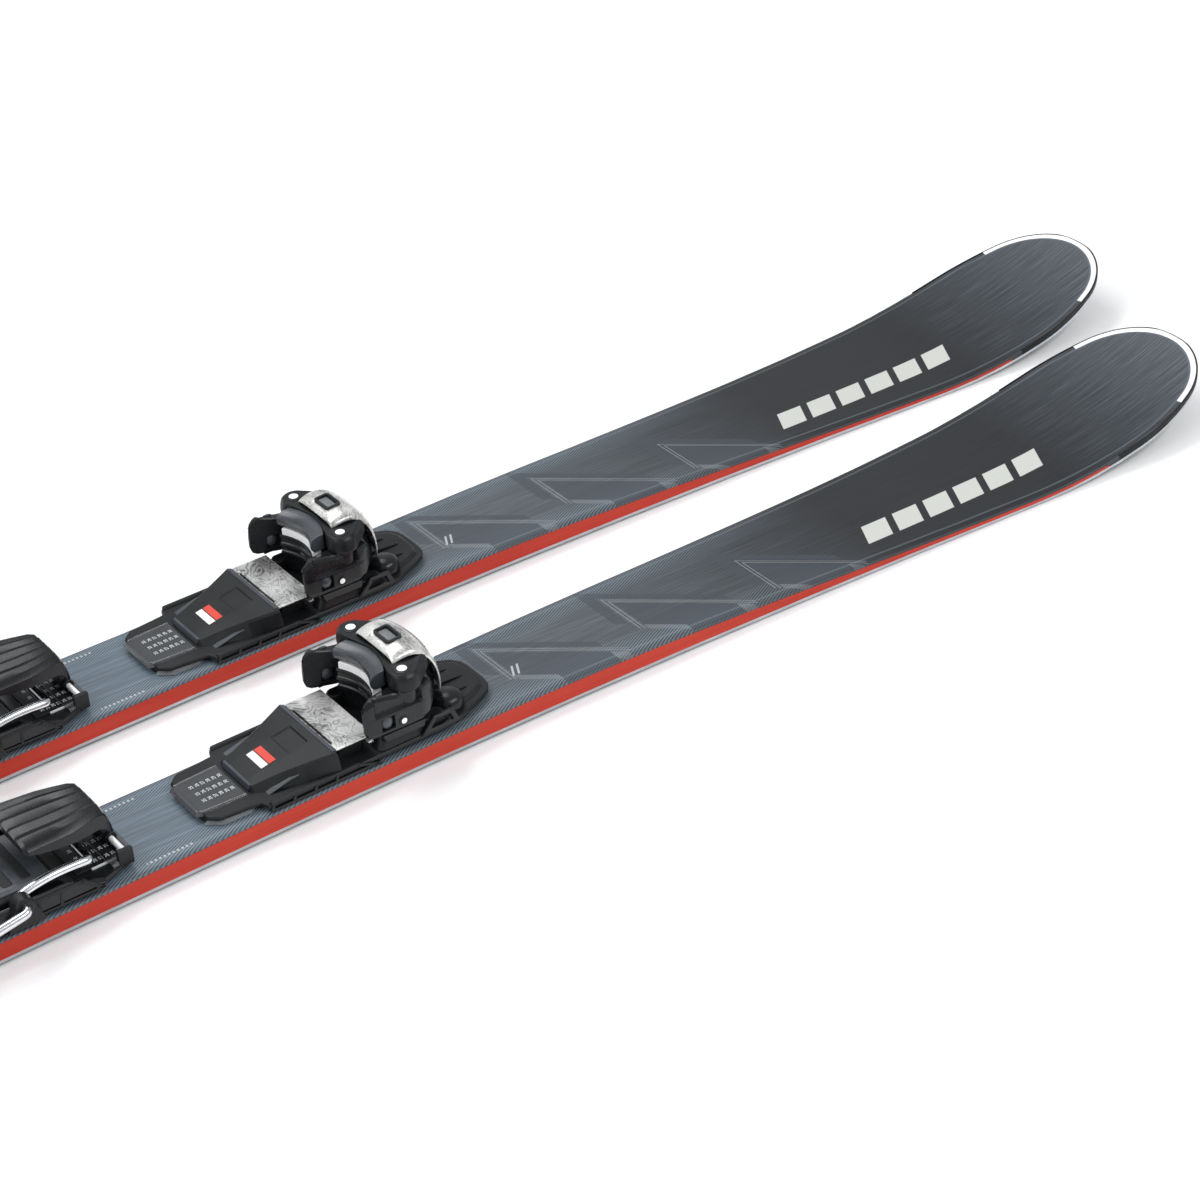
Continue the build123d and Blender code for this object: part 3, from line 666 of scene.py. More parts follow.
def build_topsheet(side):
    top, bottom = heights(side)

    def low(x):
        walled = min(1.0, max(0.0, (x + 739.0) / 8.0)) * min(1.0, max(0.0, (659.0 - x) / 8.0))
        return bottom(x) + 2.2 + (top(x) - 2.4 - bottom(x) - 2.2) * walled

    steps = [(0.0, lambda x: low(x)), (0.0, lambda x: top(x) - 1.35), (0.5, lambda x: top(x) - 0.75),
             (2.2, lambda x: top(x) - 0.32), (5.4, lambda x: top(x) - 0.05), (6.6, top), (9.5, top)]
    verts, faces, ski, rim = [], [], [], []
    half = len(OUTLINE)
    for amount, height in steps:
        line = inset(OUTLINE, amount) if amount else OUTLINE
        loop = line + [(x, -y) for x, y in reversed(line[1:])]
        for x, y in loop:
            verts.append((x, y, height(x)))
            ski.append((x * MM, y * MM))
            rim.append((amount * MM, 0.0))
    count = len(loop)
    for i in range(len(steps) - 1):
        for j in range(count):
            k = (j + 1) % count
            faces.append((i * count + j, i * count + k, (i + 1) * count + k, (i + 1) * count + j))
    base = (len(steps) - 1) * count
    columns = 8
    rows = [[base]]
    for i in range(1, half):
        x, y = line[i]
        row = [base + i]
        for c in range(1, columns):
            at = y - 2 * y * c / columns
            verts.append((x, at, top(x)))
            ski.append((x * MM, at * MM))
            rim.append(((9.5 + y - abs(at)) * MM, 0.0))
            row.append(len(verts) - 1)
        row.append(base + count - i)
        rows.append(row)
    faces += [(rows[0][0], rows[1][c], rows[1][c + 1]) for c in range(columns)]
    for upper, lower in zip(rows[1:], rows[2:]):
        faces += [(upper[c], lower[c], lower[c + 1], upper[c + 1]) for c in range(columns)]
    faces.append((0, 1, count - 1))
    faces += [(i, i + 1, count - i - 1, count - i) for i in range(1, half - 1)]
    add_piece("top", side, verts, faces, "ski", "topsheet", ["topsheet"], uv={"ski": ski, "rim": rim})


def build_guards(side):
    """The bright rims round the tip and the tail, a little proud of the top, in a thin dark outer line."""
    top, bottom = heights(side)
    bright = [(1.3, lambda x: bottom(x) + 2.3), (1.3, lambda x: top(x) - 0.1),
              (1.7, lambda x: top(x) + 0.22), (4.8, lambda x: top(x) + 0.28), (5.5, lambda x: top(x) - 0.3),
              (2.0, lambda x: bottom(x) + 2.3)]
    outer = [(0.0, lambda x: bottom(x) + 2.25), (0.0, lambda x: top(x) - 0.5),
             (0.4, lambda x: top(x) + 0.02), (1.2, lambda x: top(x) + 0.1), (1.25, lambda x: top(x) - 0.6),
             (1.25, lambda x: bottom(x) + 2.3)]
    for name, section, tip_end, tail_end, look, slot, covers in (
            ("rims", bright, HALF - 51.0, 34.0 - HALF, "guard", None, ["end_guards"]),
            ("rim_line", outer, HALF - 120.0, 40.0 - HALF, "rail", "base_black", ())):
        parts = []
        for at_tip in (True, False):
            lines = []
            for amount, height in section:
                line = inset(OUTLINE, amount) if amount else OUTLINE
                chosen = [line[i] for i, p in enumerate(OUTLINE) if (p[0] > tip_end if at_tip
                                                                     else p[0] < tail_end)]
                run = [(x, -y) for x, y in reversed(chosen[1:])] + chosen if at_tip else \
                    chosen + [(x, -y) for x, y in reversed(chosen)]
                lines.append([(x, y, height(x)) for x, y in run])
            parts.append(rings([list(loop) for loop in zip(*lines)]))
        add_piece(name, side, *merge(*parts), "ski", look, covers, slot)


def sheet(rows, hole=None):
    """An open grid over rows of equal length; hole(middle) leaves a face out."""
    count = len(rows[0])
    verts = [p for row in rows for p in row]
    faces = []
    for i in range(len(rows) - 1):
        for j in range(count - 1):
            face = (i * count + j, i * count + j + 1, (i + 1) * count + j + 1, (i + 1) * count + j)
            middle = [sum(verts[v][k] for v in face) / 4 for k in range(3)]
            if not (hole and hole(middle)):
                faces.append(face)
    return verts, faces


def ring(outer, inner, place):
    """A frame between two closed outlines; place(p, q, k) puts a point at the low (0) or high (1) face."""
    count = len(outer)
    verts = [place(*p, k) for k, line in ((0, outer), (1, outer), (1, inner), (0, inner)) for p in line]
    faces = []
    for i in range(4):
        for j in range(count):
            k = (j + 1) % count
            n = (i + 1) % 4
            faces.append((i * count + j, i * count + k, n * count + k, n * count + j))
    return verts, faces


def arc(cx, cy, radius, start, end, count):
    return [(cx + radius * math.cos(math.radians(start + (end - start) * i / count)),
             cy + radius * math.sin(math.radians(start + (end - start) * i / count)))
            for i in range(count + 1)]


def rounded(x0, x1, y0, y1, radius, count=5):
    """A rectangle's outline with rounded corners."""
    points = []
    for cx, cy, start in ((x1 - radius, y1 - radius, 0), (x0 + radius, y1 - radius, 90),
                          (x0 + radius, y0 + radius, 180), (x1 - radius, y0 + radius, 270)):
        points += arc(cx, cy, radius, start, start + 90, count)
    return points


def numbers(name, side, entries, body, size):
    """Plain numbers printed on a scale, as one piece; each entry is (text, x, y, z)."""
    work = bmesh.new()
    for text, x, y, z in entries:
        curve = bpy.data.curves.new("digits", "FONT")
        curve.body, curve.size, curve.extrude = text, size * MM, 0.05 * MM
        curve.align_x, curve.align_y, curve.resolution_u = "CENTER", "CENTER", 2
        temporary = bpy.data.objects.new("temporary", curve)
        mesh = bpy.data.meshes.new_from_object(temporary)
        mesh.transform(Matrix.Translation(Vector((x, y, z)) * MM + ORIGIN[side])
                       @ Matrix.Rotation(math.radians(90), 4, "Z"))
        work.from_mesh(mesh)
        bpy.data.objects.remove(temporary)
        bpy.data.meshes.remove(mesh)
    mesh = bpy.data.meshes.new(f"{side}_{name}")
    work.to_mesh(mesh)
    work.free()
    piece = bpy.data.objects.new(f"{side}_{name}", mesh)
    bpy.context.scene.collection.objects.link(piece)
    finish_piece(piece, side, body, "print", slot="binding_black")


def ladder(x0, x1, hand, y, z0, z1, windows, slope=6.0):
    """A side rail with a row of recesses: two bars, uprights between them and a back plate."""
    inner, outer = hand * (y - 2.6), hand * y
    low, high = sorted((inner, outer))
    back = sorted((hand * (y - 3.4), hand * (y - 2.2)))
    top, foot = z1 - 1.8, z0 + 1.4
    parts = [plank([(x0, top), (x1 - slope, top), (x1 - slope + 1, z1), (x0 + 1, z1)], low, high),
             plank([(x0, z0), (x1, z0), (x1 - 0.8, foot), (x0, foot)], low, high),
             plank([(x1 - slope, z1), (x1, z0), (x1 - 3, z0), (x1 - slope - 3, top)], low, high),
             box(x0, x1 - slope, *back, z0, z1 - 0.6)]
    step = (x1 - slope - 2 - x0) / windows
    for i in range(windows):
        at = x0 + i * step
        parts.append(plank([(at, foot - 0.2), (at + 2.0, foot - 0.2), (at + 3.0, top + 0.2),
                            (at + 1.0, top + 0.2)], low, high))
    return parts


PEDAL_HINGE, BRAKE_HINGE, CUP_HINGE, LEVER_HINGE = (-108, 0, 29), (-180, 0, 36), (-266, 0, 40), (-272, 0, 66)
PIVOT_X, PIVOT_Y = 87, 29  # the wings' pivots
WING_PIN = (79.0, 0, 44.0)
ARM_Y = 47.5  # the brake's arms


# --- toe piece ------------------------------------------------------------------------------------
WING = [  # x, outer y, inner y, lowest z, highest z
    (53.2, 36.0, 34.2, 43.0, 59.0), (54.6, 37.2, 33.6, 39.6, 62.4), (57.5, 38.2, 32.8, 37.9, 64.4),
    (60.0, 38.6, 31.8, 37.9, 65.0), (62.0, 38.8, 31.0, 37.9, 65.0), (63.6, 39.0, 30.4, 37.9, 64.8),
    (64.2, 39.0, 30.2, 37.9, 64.7), (72.6, 39.2, 27.0, 37.9, 63.0), (73.2, 39.2, 26.8, 37.9, 62.8),
    (78.0, 39.4, 25.0, 37.9, 61.8), (84.0, 39.6, 23.6, 37.9, 61.7), (92.0, 39.8, 25.0, 38.3, 61.7),
    (93.5, 39.8, 25.5, 38.8, 61.7), (98.0, 38.8, 27.5, 41.0, 61.6), (102.5, 36.0, 29.0, 45.5, 60.6),
    (104.6, 33.4, 30.4, 50.0, 58.0),
]
POCKET_X, POCKET_Z = (63.9, 72.9), (41.7, 50.5)  # the roller's recess


def wing_loop(x, outer, inner, low, high):
    """One cross-section of a wing: a proud lower block, a ledge, a set-back upper wall and a flat roof."""
    ledge = 3.2 if 61.0 < x < 93.0 else 0.4
    hollow = POCKET_X[0] < x < POCKET_X[1]
    span = high - low
    levels = [(low, -1.6), (low + 0.05 * span, -0.5), (41.4, 0.0), (41.8, 0.0), (50.4, 0.0), (50.8, 0.0),
              (52.0, -0.2), (53.4, -ledge), (high - 3.0, -ledge - 0.3), (high - 0.8, -ledge - 1.4)]
    loop, floor = [], low
    for z, shift in levels:
        z = max(z, floor)
        floor = z + 0.05
        depth = 4.0 if hollow and POCKET_Z[0] < z < POCKET_Z[1] else 0.0
        loop.append((x, min(outer + shift, outer) - depth, z))
    loop.append((x, outer - ledge - 2.4, high))
    loop.append((x, inner + 0.8, high))
    for z, _ in reversed(levels):
        z = min(max(z, low), high - 0.6)
        depth = 3.4 if hollow and POCKET_Z[0] < z < POCKET_Z[1] else 0.0
        loop.append((x, inner + depth + (0.6 if z < low + 1 else 0.0), z))
    return loop


def build_wing(side, name, hand):
    loops = [[(x, hand * y, z) for x, y, z in wing_loop(*station)] for station in WING]
    verts, faces = rings(loops)
    body = f"{name}_wing"
    skirt = slab(aside(hand, [(64, 36.4), (66, 38.9), (93, 39.4), (95, 37.4), (93, 36.2)]), 33.4, 38.4,
                 aside(hand, [(63, 36.0), (64, 39.0), (94, 39.7), (97, 37.6), (93, 35.8)]))
    hub = lathe([(0.5, 37.95), (8.4, 37.95), (9.0, 38.6), (9.0, 61.2), (8.6, 61.7), (0.5, 61.7)],
                (PIVOT_X, hand * PIVOT_Y, 0), "z", 28)
    post = box(84.3, 90, *between(hand, 19, 30), 42, 50)
    add_piece(f"{name}_wing", side, *merge((verts, faces), skirt, hub, post), body, "wing",
              [f"toe_{name}_wing"], slot="wing_black", bevel=0.55, angle=24)
    roller = lathe([(0.4, 41.7), (3.4, 41.7), (4.0, 42.1), (5.0, 44.2), (5.25, 46.1), (5.0, 48.0),
                    (4.0, 50.1), (3.4, 50.5), (0.4, 50.5)], (68.4, hand * 34.0, 0), "z", 28)
    add_piece(f"{name}_wing_roller", side, *roller, body, "grey")
    pin = lathe(aside(hand, [(0.3, 39.1), (1.6, 39.1), (2.0, 39.5), (1.9, 40.1), (1.2, 40.4), (0.3, 40.4)]),
                WING_PIN, "y", 20)
    add_piece(f"{name}_wing_pin", side, *pin, body, "pin")
    flange = lathe(aside(hand, [(2.2, 39.0), (3.4, 39.0), (3.2, 39.9), (2.4, 39.9)]), WING_PIN, "y", 24)
    add_piece(f"{name}_wing_eye", side, *flange, body, "black")
    fleck = slab(aside(hand, [(64, 33.4), (66.5, 31.6), (71, 31.4), (69, 33.6)]), 64.0, 65.5,
                 aside(hand, [(64.8, 33.1), (66.8, 32.0), (70, 31.8), (68.6, 33.2)]))
    add_piece(f"{name}_roller_axle_cap", side, *fleck, body, "grey", bevel=0.3)


COVER = [  # x, half-width, crown height, how far the sides fall, how far the corners lie back
    (85.5, 20.6, 75.3, 0.8, 0.0), (86.4, 21.3, 76.7, 1.4, 0.0), (91.0, 21.8, 78.3, 1.8, 0.3),
    (96.0, 22.2, 79.1, 2.0, 0.6), (101.0, 22.5, 79.0, 2.2, 1.0), (106.0, 23.0, 77.6, 2.4, 1.6),
    (111.0, 23.6, 74.2, 2.6, 2.4), (115.6, 24.0, 68.6, 2.4, 3.4), (119.2, 24.0, 61.0, 2.0, 4.4),
    (121.8, 23.4, 52.0, 1.4, 5.4), (123.2, 21.6, 44.0, 0.8, 6.0), (123.7, 18.0, 38.6, 0.2, 5.0),
    (123.8, 14.6, 36.2, 0.0, 3.4),
]
ACROSS = (-1.0, -0.95, -0.84, -0.66, -0.5, -0.365, -0.18, 0.0, 0.18, 0.365, 0.5, 0.66, 0.84, 0.95, 1.0)


def build_toe_cover(side):
    rows = []
    for x, half, crown, fall, back in COVER:
        row = []
        for t in ACROSS:
            fold = 2.6 if abs(t) == 1.0 else 0.7 if abs(t) == 0.95 else 0.0
            row.append((x - back * t * t, half * t, crown - fall * abs(t) ** 2.4 - fold))
        rows.append(row)
    window = lambda m: 91.0 < m[0] < 101.0 and abs(m[1]) < 8.2
    add_piece("cover_shell", side, *sheet(rows, window), "toe_carriage", "foil", ["toe_cover"], subdivide=1,
              thick=1.5)
    surface = lambda x, y, k: (x, y, 77.0 + 3.2 * k - 0.004 * y * y + 0.06 * (x - 91) * k)
    frame = ring(rounded(90.2, 101.6, -8.9, 8.9, 2.6), rounded(92.0, 99.8, -7.1, 7.1, 1.6), surface)
    add_piece("toe_window_frame", side, *frame, "toe_carriage", "black", bevel=0.3)
    lens = slab(rounded(91.8, 100.0, -7.3, 7.3, 1.6), 77.9, 79.0, rounded(92.6, 99.2, -6.5, 6.5, 1.2))
    add_piece("toe_window_lens", side, *lens, "toe_carriage", "clear", ["toe_indicator_window"], bevel=0.2)
    add_piece("toe_window_floor", side, *slab(rounded(91.6, 100.2, -7.6, 7.6, 1.6), 74.5, 76.4),
              "toe_carriage", "rail", bevel=0.2)
    marks = [box(93.4, 98.6, -5.6, -5.0, 76.4, 76.8), box(93.4, 98.6, -0.3, 0.3, 76.4, 76.8),
             box(93.4, 98.6, 5.0, 5.6, 76.4, 76.8), box(95.6, 96.4, -5.6, 5.6, 76.4, 76.7)]
    add_piece("toe_window_marks", side, *merge(*marks), "toe_carriage", "print")


def boot_front(y):
    """The x of the toe stop's rear face: hollowed to take the front of a sole."""
    return 76.0 - 6.0 * (y / 21.0) ** 2


def build_toe_stop(side):
    def curved(profile, half, depth, count=12):
        loops = []
        for i in range(count + 1):
            y = half * (2 * i / count - 1)
            x = boot_front(y)
            loops.append([(x + dx, y, z) for z, dx in profile] + [(x + depth, y, profile[-1][0]),
                                                                  (x + depth, y, profile[0][0])])
        return rings(loops)

    saddle = [(60.2, 1.8), (60.8, 0.4), (62.5, -0.9), (65.0, -1.7), (67.5, -1.5), (69.6, -0.2), (71.0, 2.4),
              (71.6, 5.0)]
    add_piece("toe_saddle", side, *curved(saddle, 21.5, 9.0), "toe_carriage", "grey", bevel=0.4)
    add_piece("toe_bright_strip", side, *curved([(54.2, 0.4), (54.8, -0.5), (59.2, -0.5), (59.8, 0.4)],
                                                19.6, 6.0), "toe_carriage", "white", bevel=0.2)
    wall = [(25.0, 3.5), (33.0, 2.4), (38.5, 0.4), (39.2, -0.4), (41.4, -0.4), (42.2, 0.8), (44.6, 0.8),
            (45.4, -0.4), (47.6, -0.4), (48.4, 0.8), (51.2, 0.8), (52.0, 0.0), (54.0, 0.0)]
    add_piece("stop_body", side, *curved(wall, 21.8, 8.0), "toe_carriage", "wing", ["toe_stop"],
              slot="stop_grey", bevel=0.3)


def build_toe_base(side):
    deck = mirrored([(157.5, 9), (156.5, 15), (152, 21.5), (143, 26.5), (127, 33.5), (114, 36.4),
                     (-17, 36.4), (-19.5, 30), (-46, 27.5), (-52, 22)])
    parts = [slab(deck, 21.6, 24.2, shrink(deck, 0.6))]
    tongue = mirrored([(154, 9), (151, 17), (142, 22), (124, 27), (112, 28)])
    parts.append(slab(tongue, 24.0, 26.2, shrink(tongue, 2.6)))
    for y in (-12.0, 0.0, 12.0):
        parts.append(plank([(116, 26), (147 - abs(y) / 3, 26), (144 - abs(y) / 3, 27.3), (116, 30)],
                           y - 1.4, y + 1.4))
    parts.append(box(40, 57, -24, 24, 24, 33))
    parts.append(box(37, 60, -24, 24, 33, 35.3))
    for hand in HANDS.values():
        parts.append(slab(rounded(62, 118, *between(hand, 22, 35), 5), 24.0, 32.0,
                          rounded(66, 112, *between(hand, 24, 33.5), 4)))
        ys = between(hand, 20.3, 24)
        parts.append(box(-18, 125, *ys, 18.4, 22))
    add_piece("toe_deck", side, *merge(*parts), "toe_carriage", "black", ["toe_base"], bevel=0.6, angle=24)
    column = rings([mirrored_loop(z, front, rear, half)
                    for z, front, rear, half in ((24.0, 119, 92, 19.0), (34.0, 120, 91, 20.0),
                                                 (46.0, 119.5, 90, 21.0), (56.0, 116.5, 86, 22.0),
                                                 (63.0, 112, 80, 22.5))])
    add_piece("toe_housing", side, *column, "toe_carriage", "wing", bevel=0.9, angle=28)
    lobes = [(114.5, 8), (113.5, 17), (108, 25)] + arc(88, 29.5, 10.4, 35, 208,
                                                       12) + [(79.6, 21), (82.0, 12), (83.0, 5)]
    bracket = rings([[(x, y, z) for x, y in shrink(mirrored(lobes), amount)]
                     for z, amount in ((62.0, 1.6), (62.5, 0.4), (64.0, 0.0), (68.0, 0.4), (71.2, 1.4),
                                       (73.0, 3.4))])
    add_piece("toe_bracket", side, *bracket, "toe_carriage", "black", bevel=0.3, angle=30)
    for name, hand in HANDS.items():
        hub = lathe([(0.5, 24), (10.5, 24), (10.4, 28.5), (9.4, 31.6), (6.8, 33.4), (0.5, 33.9)],
                    (123, hand * 19, 0), "z", 32)
        add_piece(f"toe_{name}_hub", side, *hub, "toe_carriage", "wing")
        ys = between(hand, 35.0, 37.8)
        eye = ring([(92, 24.5), (101, 35.5), (116, 34.8), (120, 24.5)], [(98.5, 27), (103.4, 32.8),
                                                                         (113.4, 32.2), (115.4, 27)],
                   lambda x, z, k, ys=ys: (x, ys[k], z))
        add_piece(f"toe_{name}_eyelet", side, *eye, "toe_carriage", "wing", bevel=0.6)
        rail = ladder(-16, 62, hand, 37.2, 19.0, 25.6, 4, 16.0)
        add_piece(f"toe_{name}_side_rail", side, *merge(*rail), "toe_carriage", "black", bevel=0.35)
        collar = lathe([(3.3, 72.6), (5.6, 72.6), (5.3, 73.3), (3.5, 73.5)], (PIVOT_X, hand * PIVOT_Y, 0),
                       "z", 28)
        add_piece(f"toe_{name}_pin_collar", side, *collar, "toe_carriage", "wing")


def mirrored_loop(z, front, rear, half):
    points = mirrored([(front, half * 0.45), (front - 4, half * 0.86), (front - 10, half), (rear + 3, half),
                       (rear, half * 0.8)])
    return [(x, y, z) for x, y in points]


def build_ramp(side):
    panel = (13.4, 27.4)

    def loop(x, sunk):
        t = max(0.0, (x + 17.5) / 52.0)
        wide, high, foot = 17.0 + 15.6 * t**1.25, 27.8 + 9.6 * t**0.95, 21.0 + 15.6 * t**0.8
        if x < -17.5:
            wide, high, foot = 15.4, 24.4, 19.6
        if x > 34.0:
            wide, high = wide - 0.6, high - 0.8
        low = 21.7
        return [(x, -foot, low), (x, -foot, low + 2.0), (x, -wide - 1.6, high - 1.4), (x, -wide, high),
                (x, -10.5, high + 0.3), (x, -10.0, high + 0.3 - sunk), (x, 10.0, high + 0.3 - sunk),
                (x, 10.5, high + 0.3), (x, wide, high), (x, wide + 1.6, high - 1.4), (x, foot, low + 2.0),
                (x, foot, low)]

    stations = [(-19.4, 0), (-17.4, 0), (-8, 0), (2, 0), (panel[0], 0), (panel[0] + 0.5, 0.9), (20, 0.9),
                (panel[1] - 0.5, 0.9), (panel[1], 0), (32, 0), (33.6, 0), (34.6, 0)]
    add_piece("ramp_body", side, *rings([loop(x, sunk) for x, sunk in stations]), "toe_carriage", "black",
              ["toe_ramp"], bevel=0.45, angle=20)
    height = lambda x: 28.1 + 9.6 * ((x + 17.5) / 52.0) ** 0.95
    for look, x0, x1, slot in (("white", -5.4, -0.6, "silver_plastic"), ("red", 0.2, 5.0, "sidewall_red")):
        bar = plank([(x0, height(x0) - 0.5), (x1, height(x1) - 0.5), (x1, height(x1) + 0.12),
                     (x0, height(x0) + 0.12)], -9.0, 9.0)
        add_piece(f"ramp_{look}_bar", side, *bar, "toe_carriage", look, slot=slot)
    for name, hand in HANDS.items():
        fin = plank([(-12, 24.5), (4, 28.6), (18, 30.2), (18, 29.0), (4, 27.0), (-12, 23.4)],
                    *between(hand, 23, 27.2))
        add_piece(f"ramp_fin_{name}", side, *fin, "toe_carriage", "lip", bevel=0.4)
    lip = slab([(31.4, -31), (35.0, -30.4), (35.0, 30.4), (31.4, 31)], 34.0, 38.0,
               [(32.2, -30.6), (34.8, -30.2), (34.8, 30.2), (32.2, 30.6)])
    add_piece("ramp_lip", side, *lip, "toe_carriage", "lip", bevel=0.35)
    edge = slab([(-19.6, -15.4), (-17.0, -17.0), (-17.0, 17.0), (-19.6, 15.4)], 24.6, 28.3,
                [(-18.6, -15.2), (-16.6, -16.4), (-16.6, 16.4), (-18.6, 15.2)])
    add_piece("ramp_rear_edge", side, *edge, "toe_carriage", "lip", bevel=0.3)


def build_afd(side):
    outline = [(61.6, -30), (61.6, 30), (35.4, 30), (35.4, 24), (37.4, 22.4), (37.4, -22.4), (35.4, -24),
               (35.4, -30)]
    plate = slab(outline, 35.9, 37.35)
    rails = [box(35.4, 36.6, -24, 24, 31.0, 36), box(35.4, 38.8, -24, 24, 31.0, 32.4),
             box(60.4, 61.6, -30, 30, 31.0, 36), box(58.2, 61.6, -30, 30, 31.0, 32.4)]
    add_piece("gliding_plate", side, *merge(plate, *rails), "afd", "gliding", ["afd_plate"], bevel=0.3)


def build_toe_scale(side):
    cover = mirrored([(-20.5, 20.4), (-47, 20.4), (-56, 16.4)])
    add_piece("toe_scale_cover", side, *slab(cover, 22.2, 25.4, shrink(cover, 2.2)), "toe_carriage",
              "smoked", ["toe_scale_window"], bevel=0.5)
    add_piece("toe_scale_plate", side, *slab([(-21, -19), (-54, -16), (-54, 16), (-21, 19)], 21.7, 22.6),
              "toe_carriage", "lip", slot="rail_black", bevel=0.2)
    stripe = [slab([(-52.6, y - 0.4), (-52.6, y + 0.4), (-22, y + 0.4 + 3 * (y > 0) - 1.5),
                    (-22, y - 0.4 + 3 * (y > 0) - 1.5)], 25.0, 25.5) for y in (-16.5, 16.5)]
    add_piece("toe_scale_edges", side, *merge(*stripe), "toe_carriage", "clear", bevel=0.15)
    entries = [(str(25 + i), -45.0 + 3.9 * i, 8.0 - 8.0 * row, 25.46) for i in range(6) for row in range(3)]
    numbers("toe_scale_numbers", side, entries, "toe_carriage", 3.4)
    for name, hand in HANDS.items():
        lug = slab(aside(hand, [(-54, 21), (-44, 29), (-26, 29.5), (-20, 26), (-20, 21)]), 18.5, 23.4,
                   aside(hand, [(-50, 21), (-42, 26.6), (-27, 27), (-20, 25), (-20, 21)]))
        add_piece(f"toe_scale_{name}_lug", side, *lug, "toe_carriage", "clear", bevel=0.5)
        slot = slab(aside(hand, [(-42, 22.4), (-40, 25.6), (-28, 26.0), (-26, 22.8)]), 22.4, 23.7)
        add_piece(f"toe_scale_{name}_slot", side, *slot, "toe_carriage", "rail", bevel=0.3)


# --- heel piece -----------------------------------------------------------------------------------
def build_heel_base(side):
    deck = mirrored([(-101.5, 20), (-104, 24.5), (-114, 31), (-126, 35.5), (-140, 37), (-300, 37),
                     (-312, 30), (-314, 18)])
    parts = [slab(deck, 21.6, 24.6, shrink(deck, 0.8))]
    for hand in HANDS.values():
        parts.append(box(-300, -122, *between(hand, 20.3, 24), 18.4, 22))
        parts.append(lathe(aside(hand, [(0.4, 34.4), (6.4, 34.4), (6.6, 36), (6.2, 42.6), (5.2, 43.4),
                                        (0.4, 43.4)]), BRAKE_HINGE, "y", 28))
        parts.append(plank([(-192, 22), (-168, 22), (-173.6, 36), (-186.4, 36)], *between(hand, 35, 42.4)))
        parts.append(plank([(-296, 24), (-294, 44), (-286, 48.5), (-256, 48.5), (-247, 43), (-240, 26),
                            (-240, 24)], *between(hand, 30.2, 35.4)))
        parts.append(box(-114, -104, *between(hand, 25.4, 29), 22, 33))
    wall = hump(24, 4, 3, ((-141, 26.6, 25.5), (-146, 27.2, 30.0), (-152, 27.6, 36.6), (-226, 27.6, 36.6),
                           (-232, 27, 30)))
    add_piece("heel_deck", side, *merge(*parts, wall), "heel_carriage", "black", ["heel_base"], bevel=0.6,
              angle=24)
    for name, hand in HANDS.items():
        rail = ladder(-214, -128, hand, 38.2, 21.8, 33.4, 5, 13.0)
        add_piece(f"heel_{name}_side_rail", side, *merge(*rail), "heel_carriage", "black", bevel=0.4)
        shoulder = rings([[(x, hand * 37.8, 24), (x, hand * 37.8, high - 0.8), (x, hand * 36.8, high + 0.6),
                           (x, hand * 35.4, high + 0.8), (x, hand * 34.8, high), (x, hand * 34.8, 24)]
                          for x, high in ((-127, 25.4), (-136, 29.0), (-150, 34.2), (-214, 35.0),
                                          (-236, 31), (-246, 27))])
        add_piece(f"heel_{name}_shoulder", side, *shoulder, "heel_carriage", "wing", bevel=0.5, angle=20)


def build_pedal(side):
    """A broad ribbed tread plate with a turned-down nose, on a hinge near the front of the carriage."""
    stations = [  # x, half-width, top, thickness
        (-110.4, 14.0, 45.0, 6.0), (-110.8, 16.4, 49.6, 11.0), (-112.2, 17.8, 55.0, 14.0),
        (-114.6, 18.6, 58.6, 14.0), (-119.0, 19.8, 60.0, 13.0), (-129.0, 22.8, 60.4, 12.0),
        (-138.0, 25.0, 60.8, 11.0), (-147.0, 25.8, 61.2, 10.0), (-158.0, 26.4, 61.8, 8.4),
        (-166.0, 26.8, 62.2, 6.4), (-168.4, 26.0, 61.6, 4.4)]
    ribs = [-0.93, -0.82, -0.62, -0.55, -0.47, -0.24, -0.18, -0.10, 0.14, 0.20, 0.29, 0.50, 0.57, 0.66,
            0.84, 0.93]
    lift = [-0.4, 0.5, 0.8, -0.7, 0.1, 0.7, -0.8, 0.0, 0.7, -0.8, 0.1, 0.8, -0.7, 0.1, 0.6, -0.4]
    loops = []
    for x, half, top, thick in stations:
        ease = min(1.0, max(0.0, (-110.4 - x) / 5.0)) * min(1.0, (x + 172.0) / 8.0)
        loop = [(x, -half - 0.6, top - thick + 0.8), (x, -half, top - 3.4)]
        loop += [(x, half * t, top - 1.6 * abs(t) ** 3 + 1.5 * ease * rise) for t, rise in zip(ribs, lift)]
        loop += [(x, half, top - 3.4), (x, half + 0.6, top - thick + 0.8), (x, half * 0.9, top - thick),
                 (x, -half * 0.9, top - thick)]
        loops.append(loop)
    knuckle = lathe([(0.5, -9), (3.8, -9), (4.2, -8), (4.2, 8), (3.8, 9), (0.5, 9)], PEDAL_HINGE, "y", 24)
    nose = plank([(-112, 28), (-104.4, 28.5), (-105.6, 37), (-108.8, 48.0), (-118, 50), (-114, 40)], -7, 7)
    web = [plank([(-112, 46), (-134, 46), (-160, 54), (-160, 56), (-112, 52)], y - 1.2, y + 1.2)
           for y in (-15, 15)]
    add_piece("pedal_tread", side, *merge(rings(loops), nose, knuckle, *web), "pedal", "wing",
              ["brake_pedal"], bevel=0.35, angle=22)
    rod = lathe([(0.4, -28), (1.5, -28), (1.9, -27.4), (1.9, 27.4), (1.5, 28), (0.4, 28)], PEDAL_HINGE, "y",
                20)
    add_piece("pedal_pin", side, *rod, "pedal", "pin")


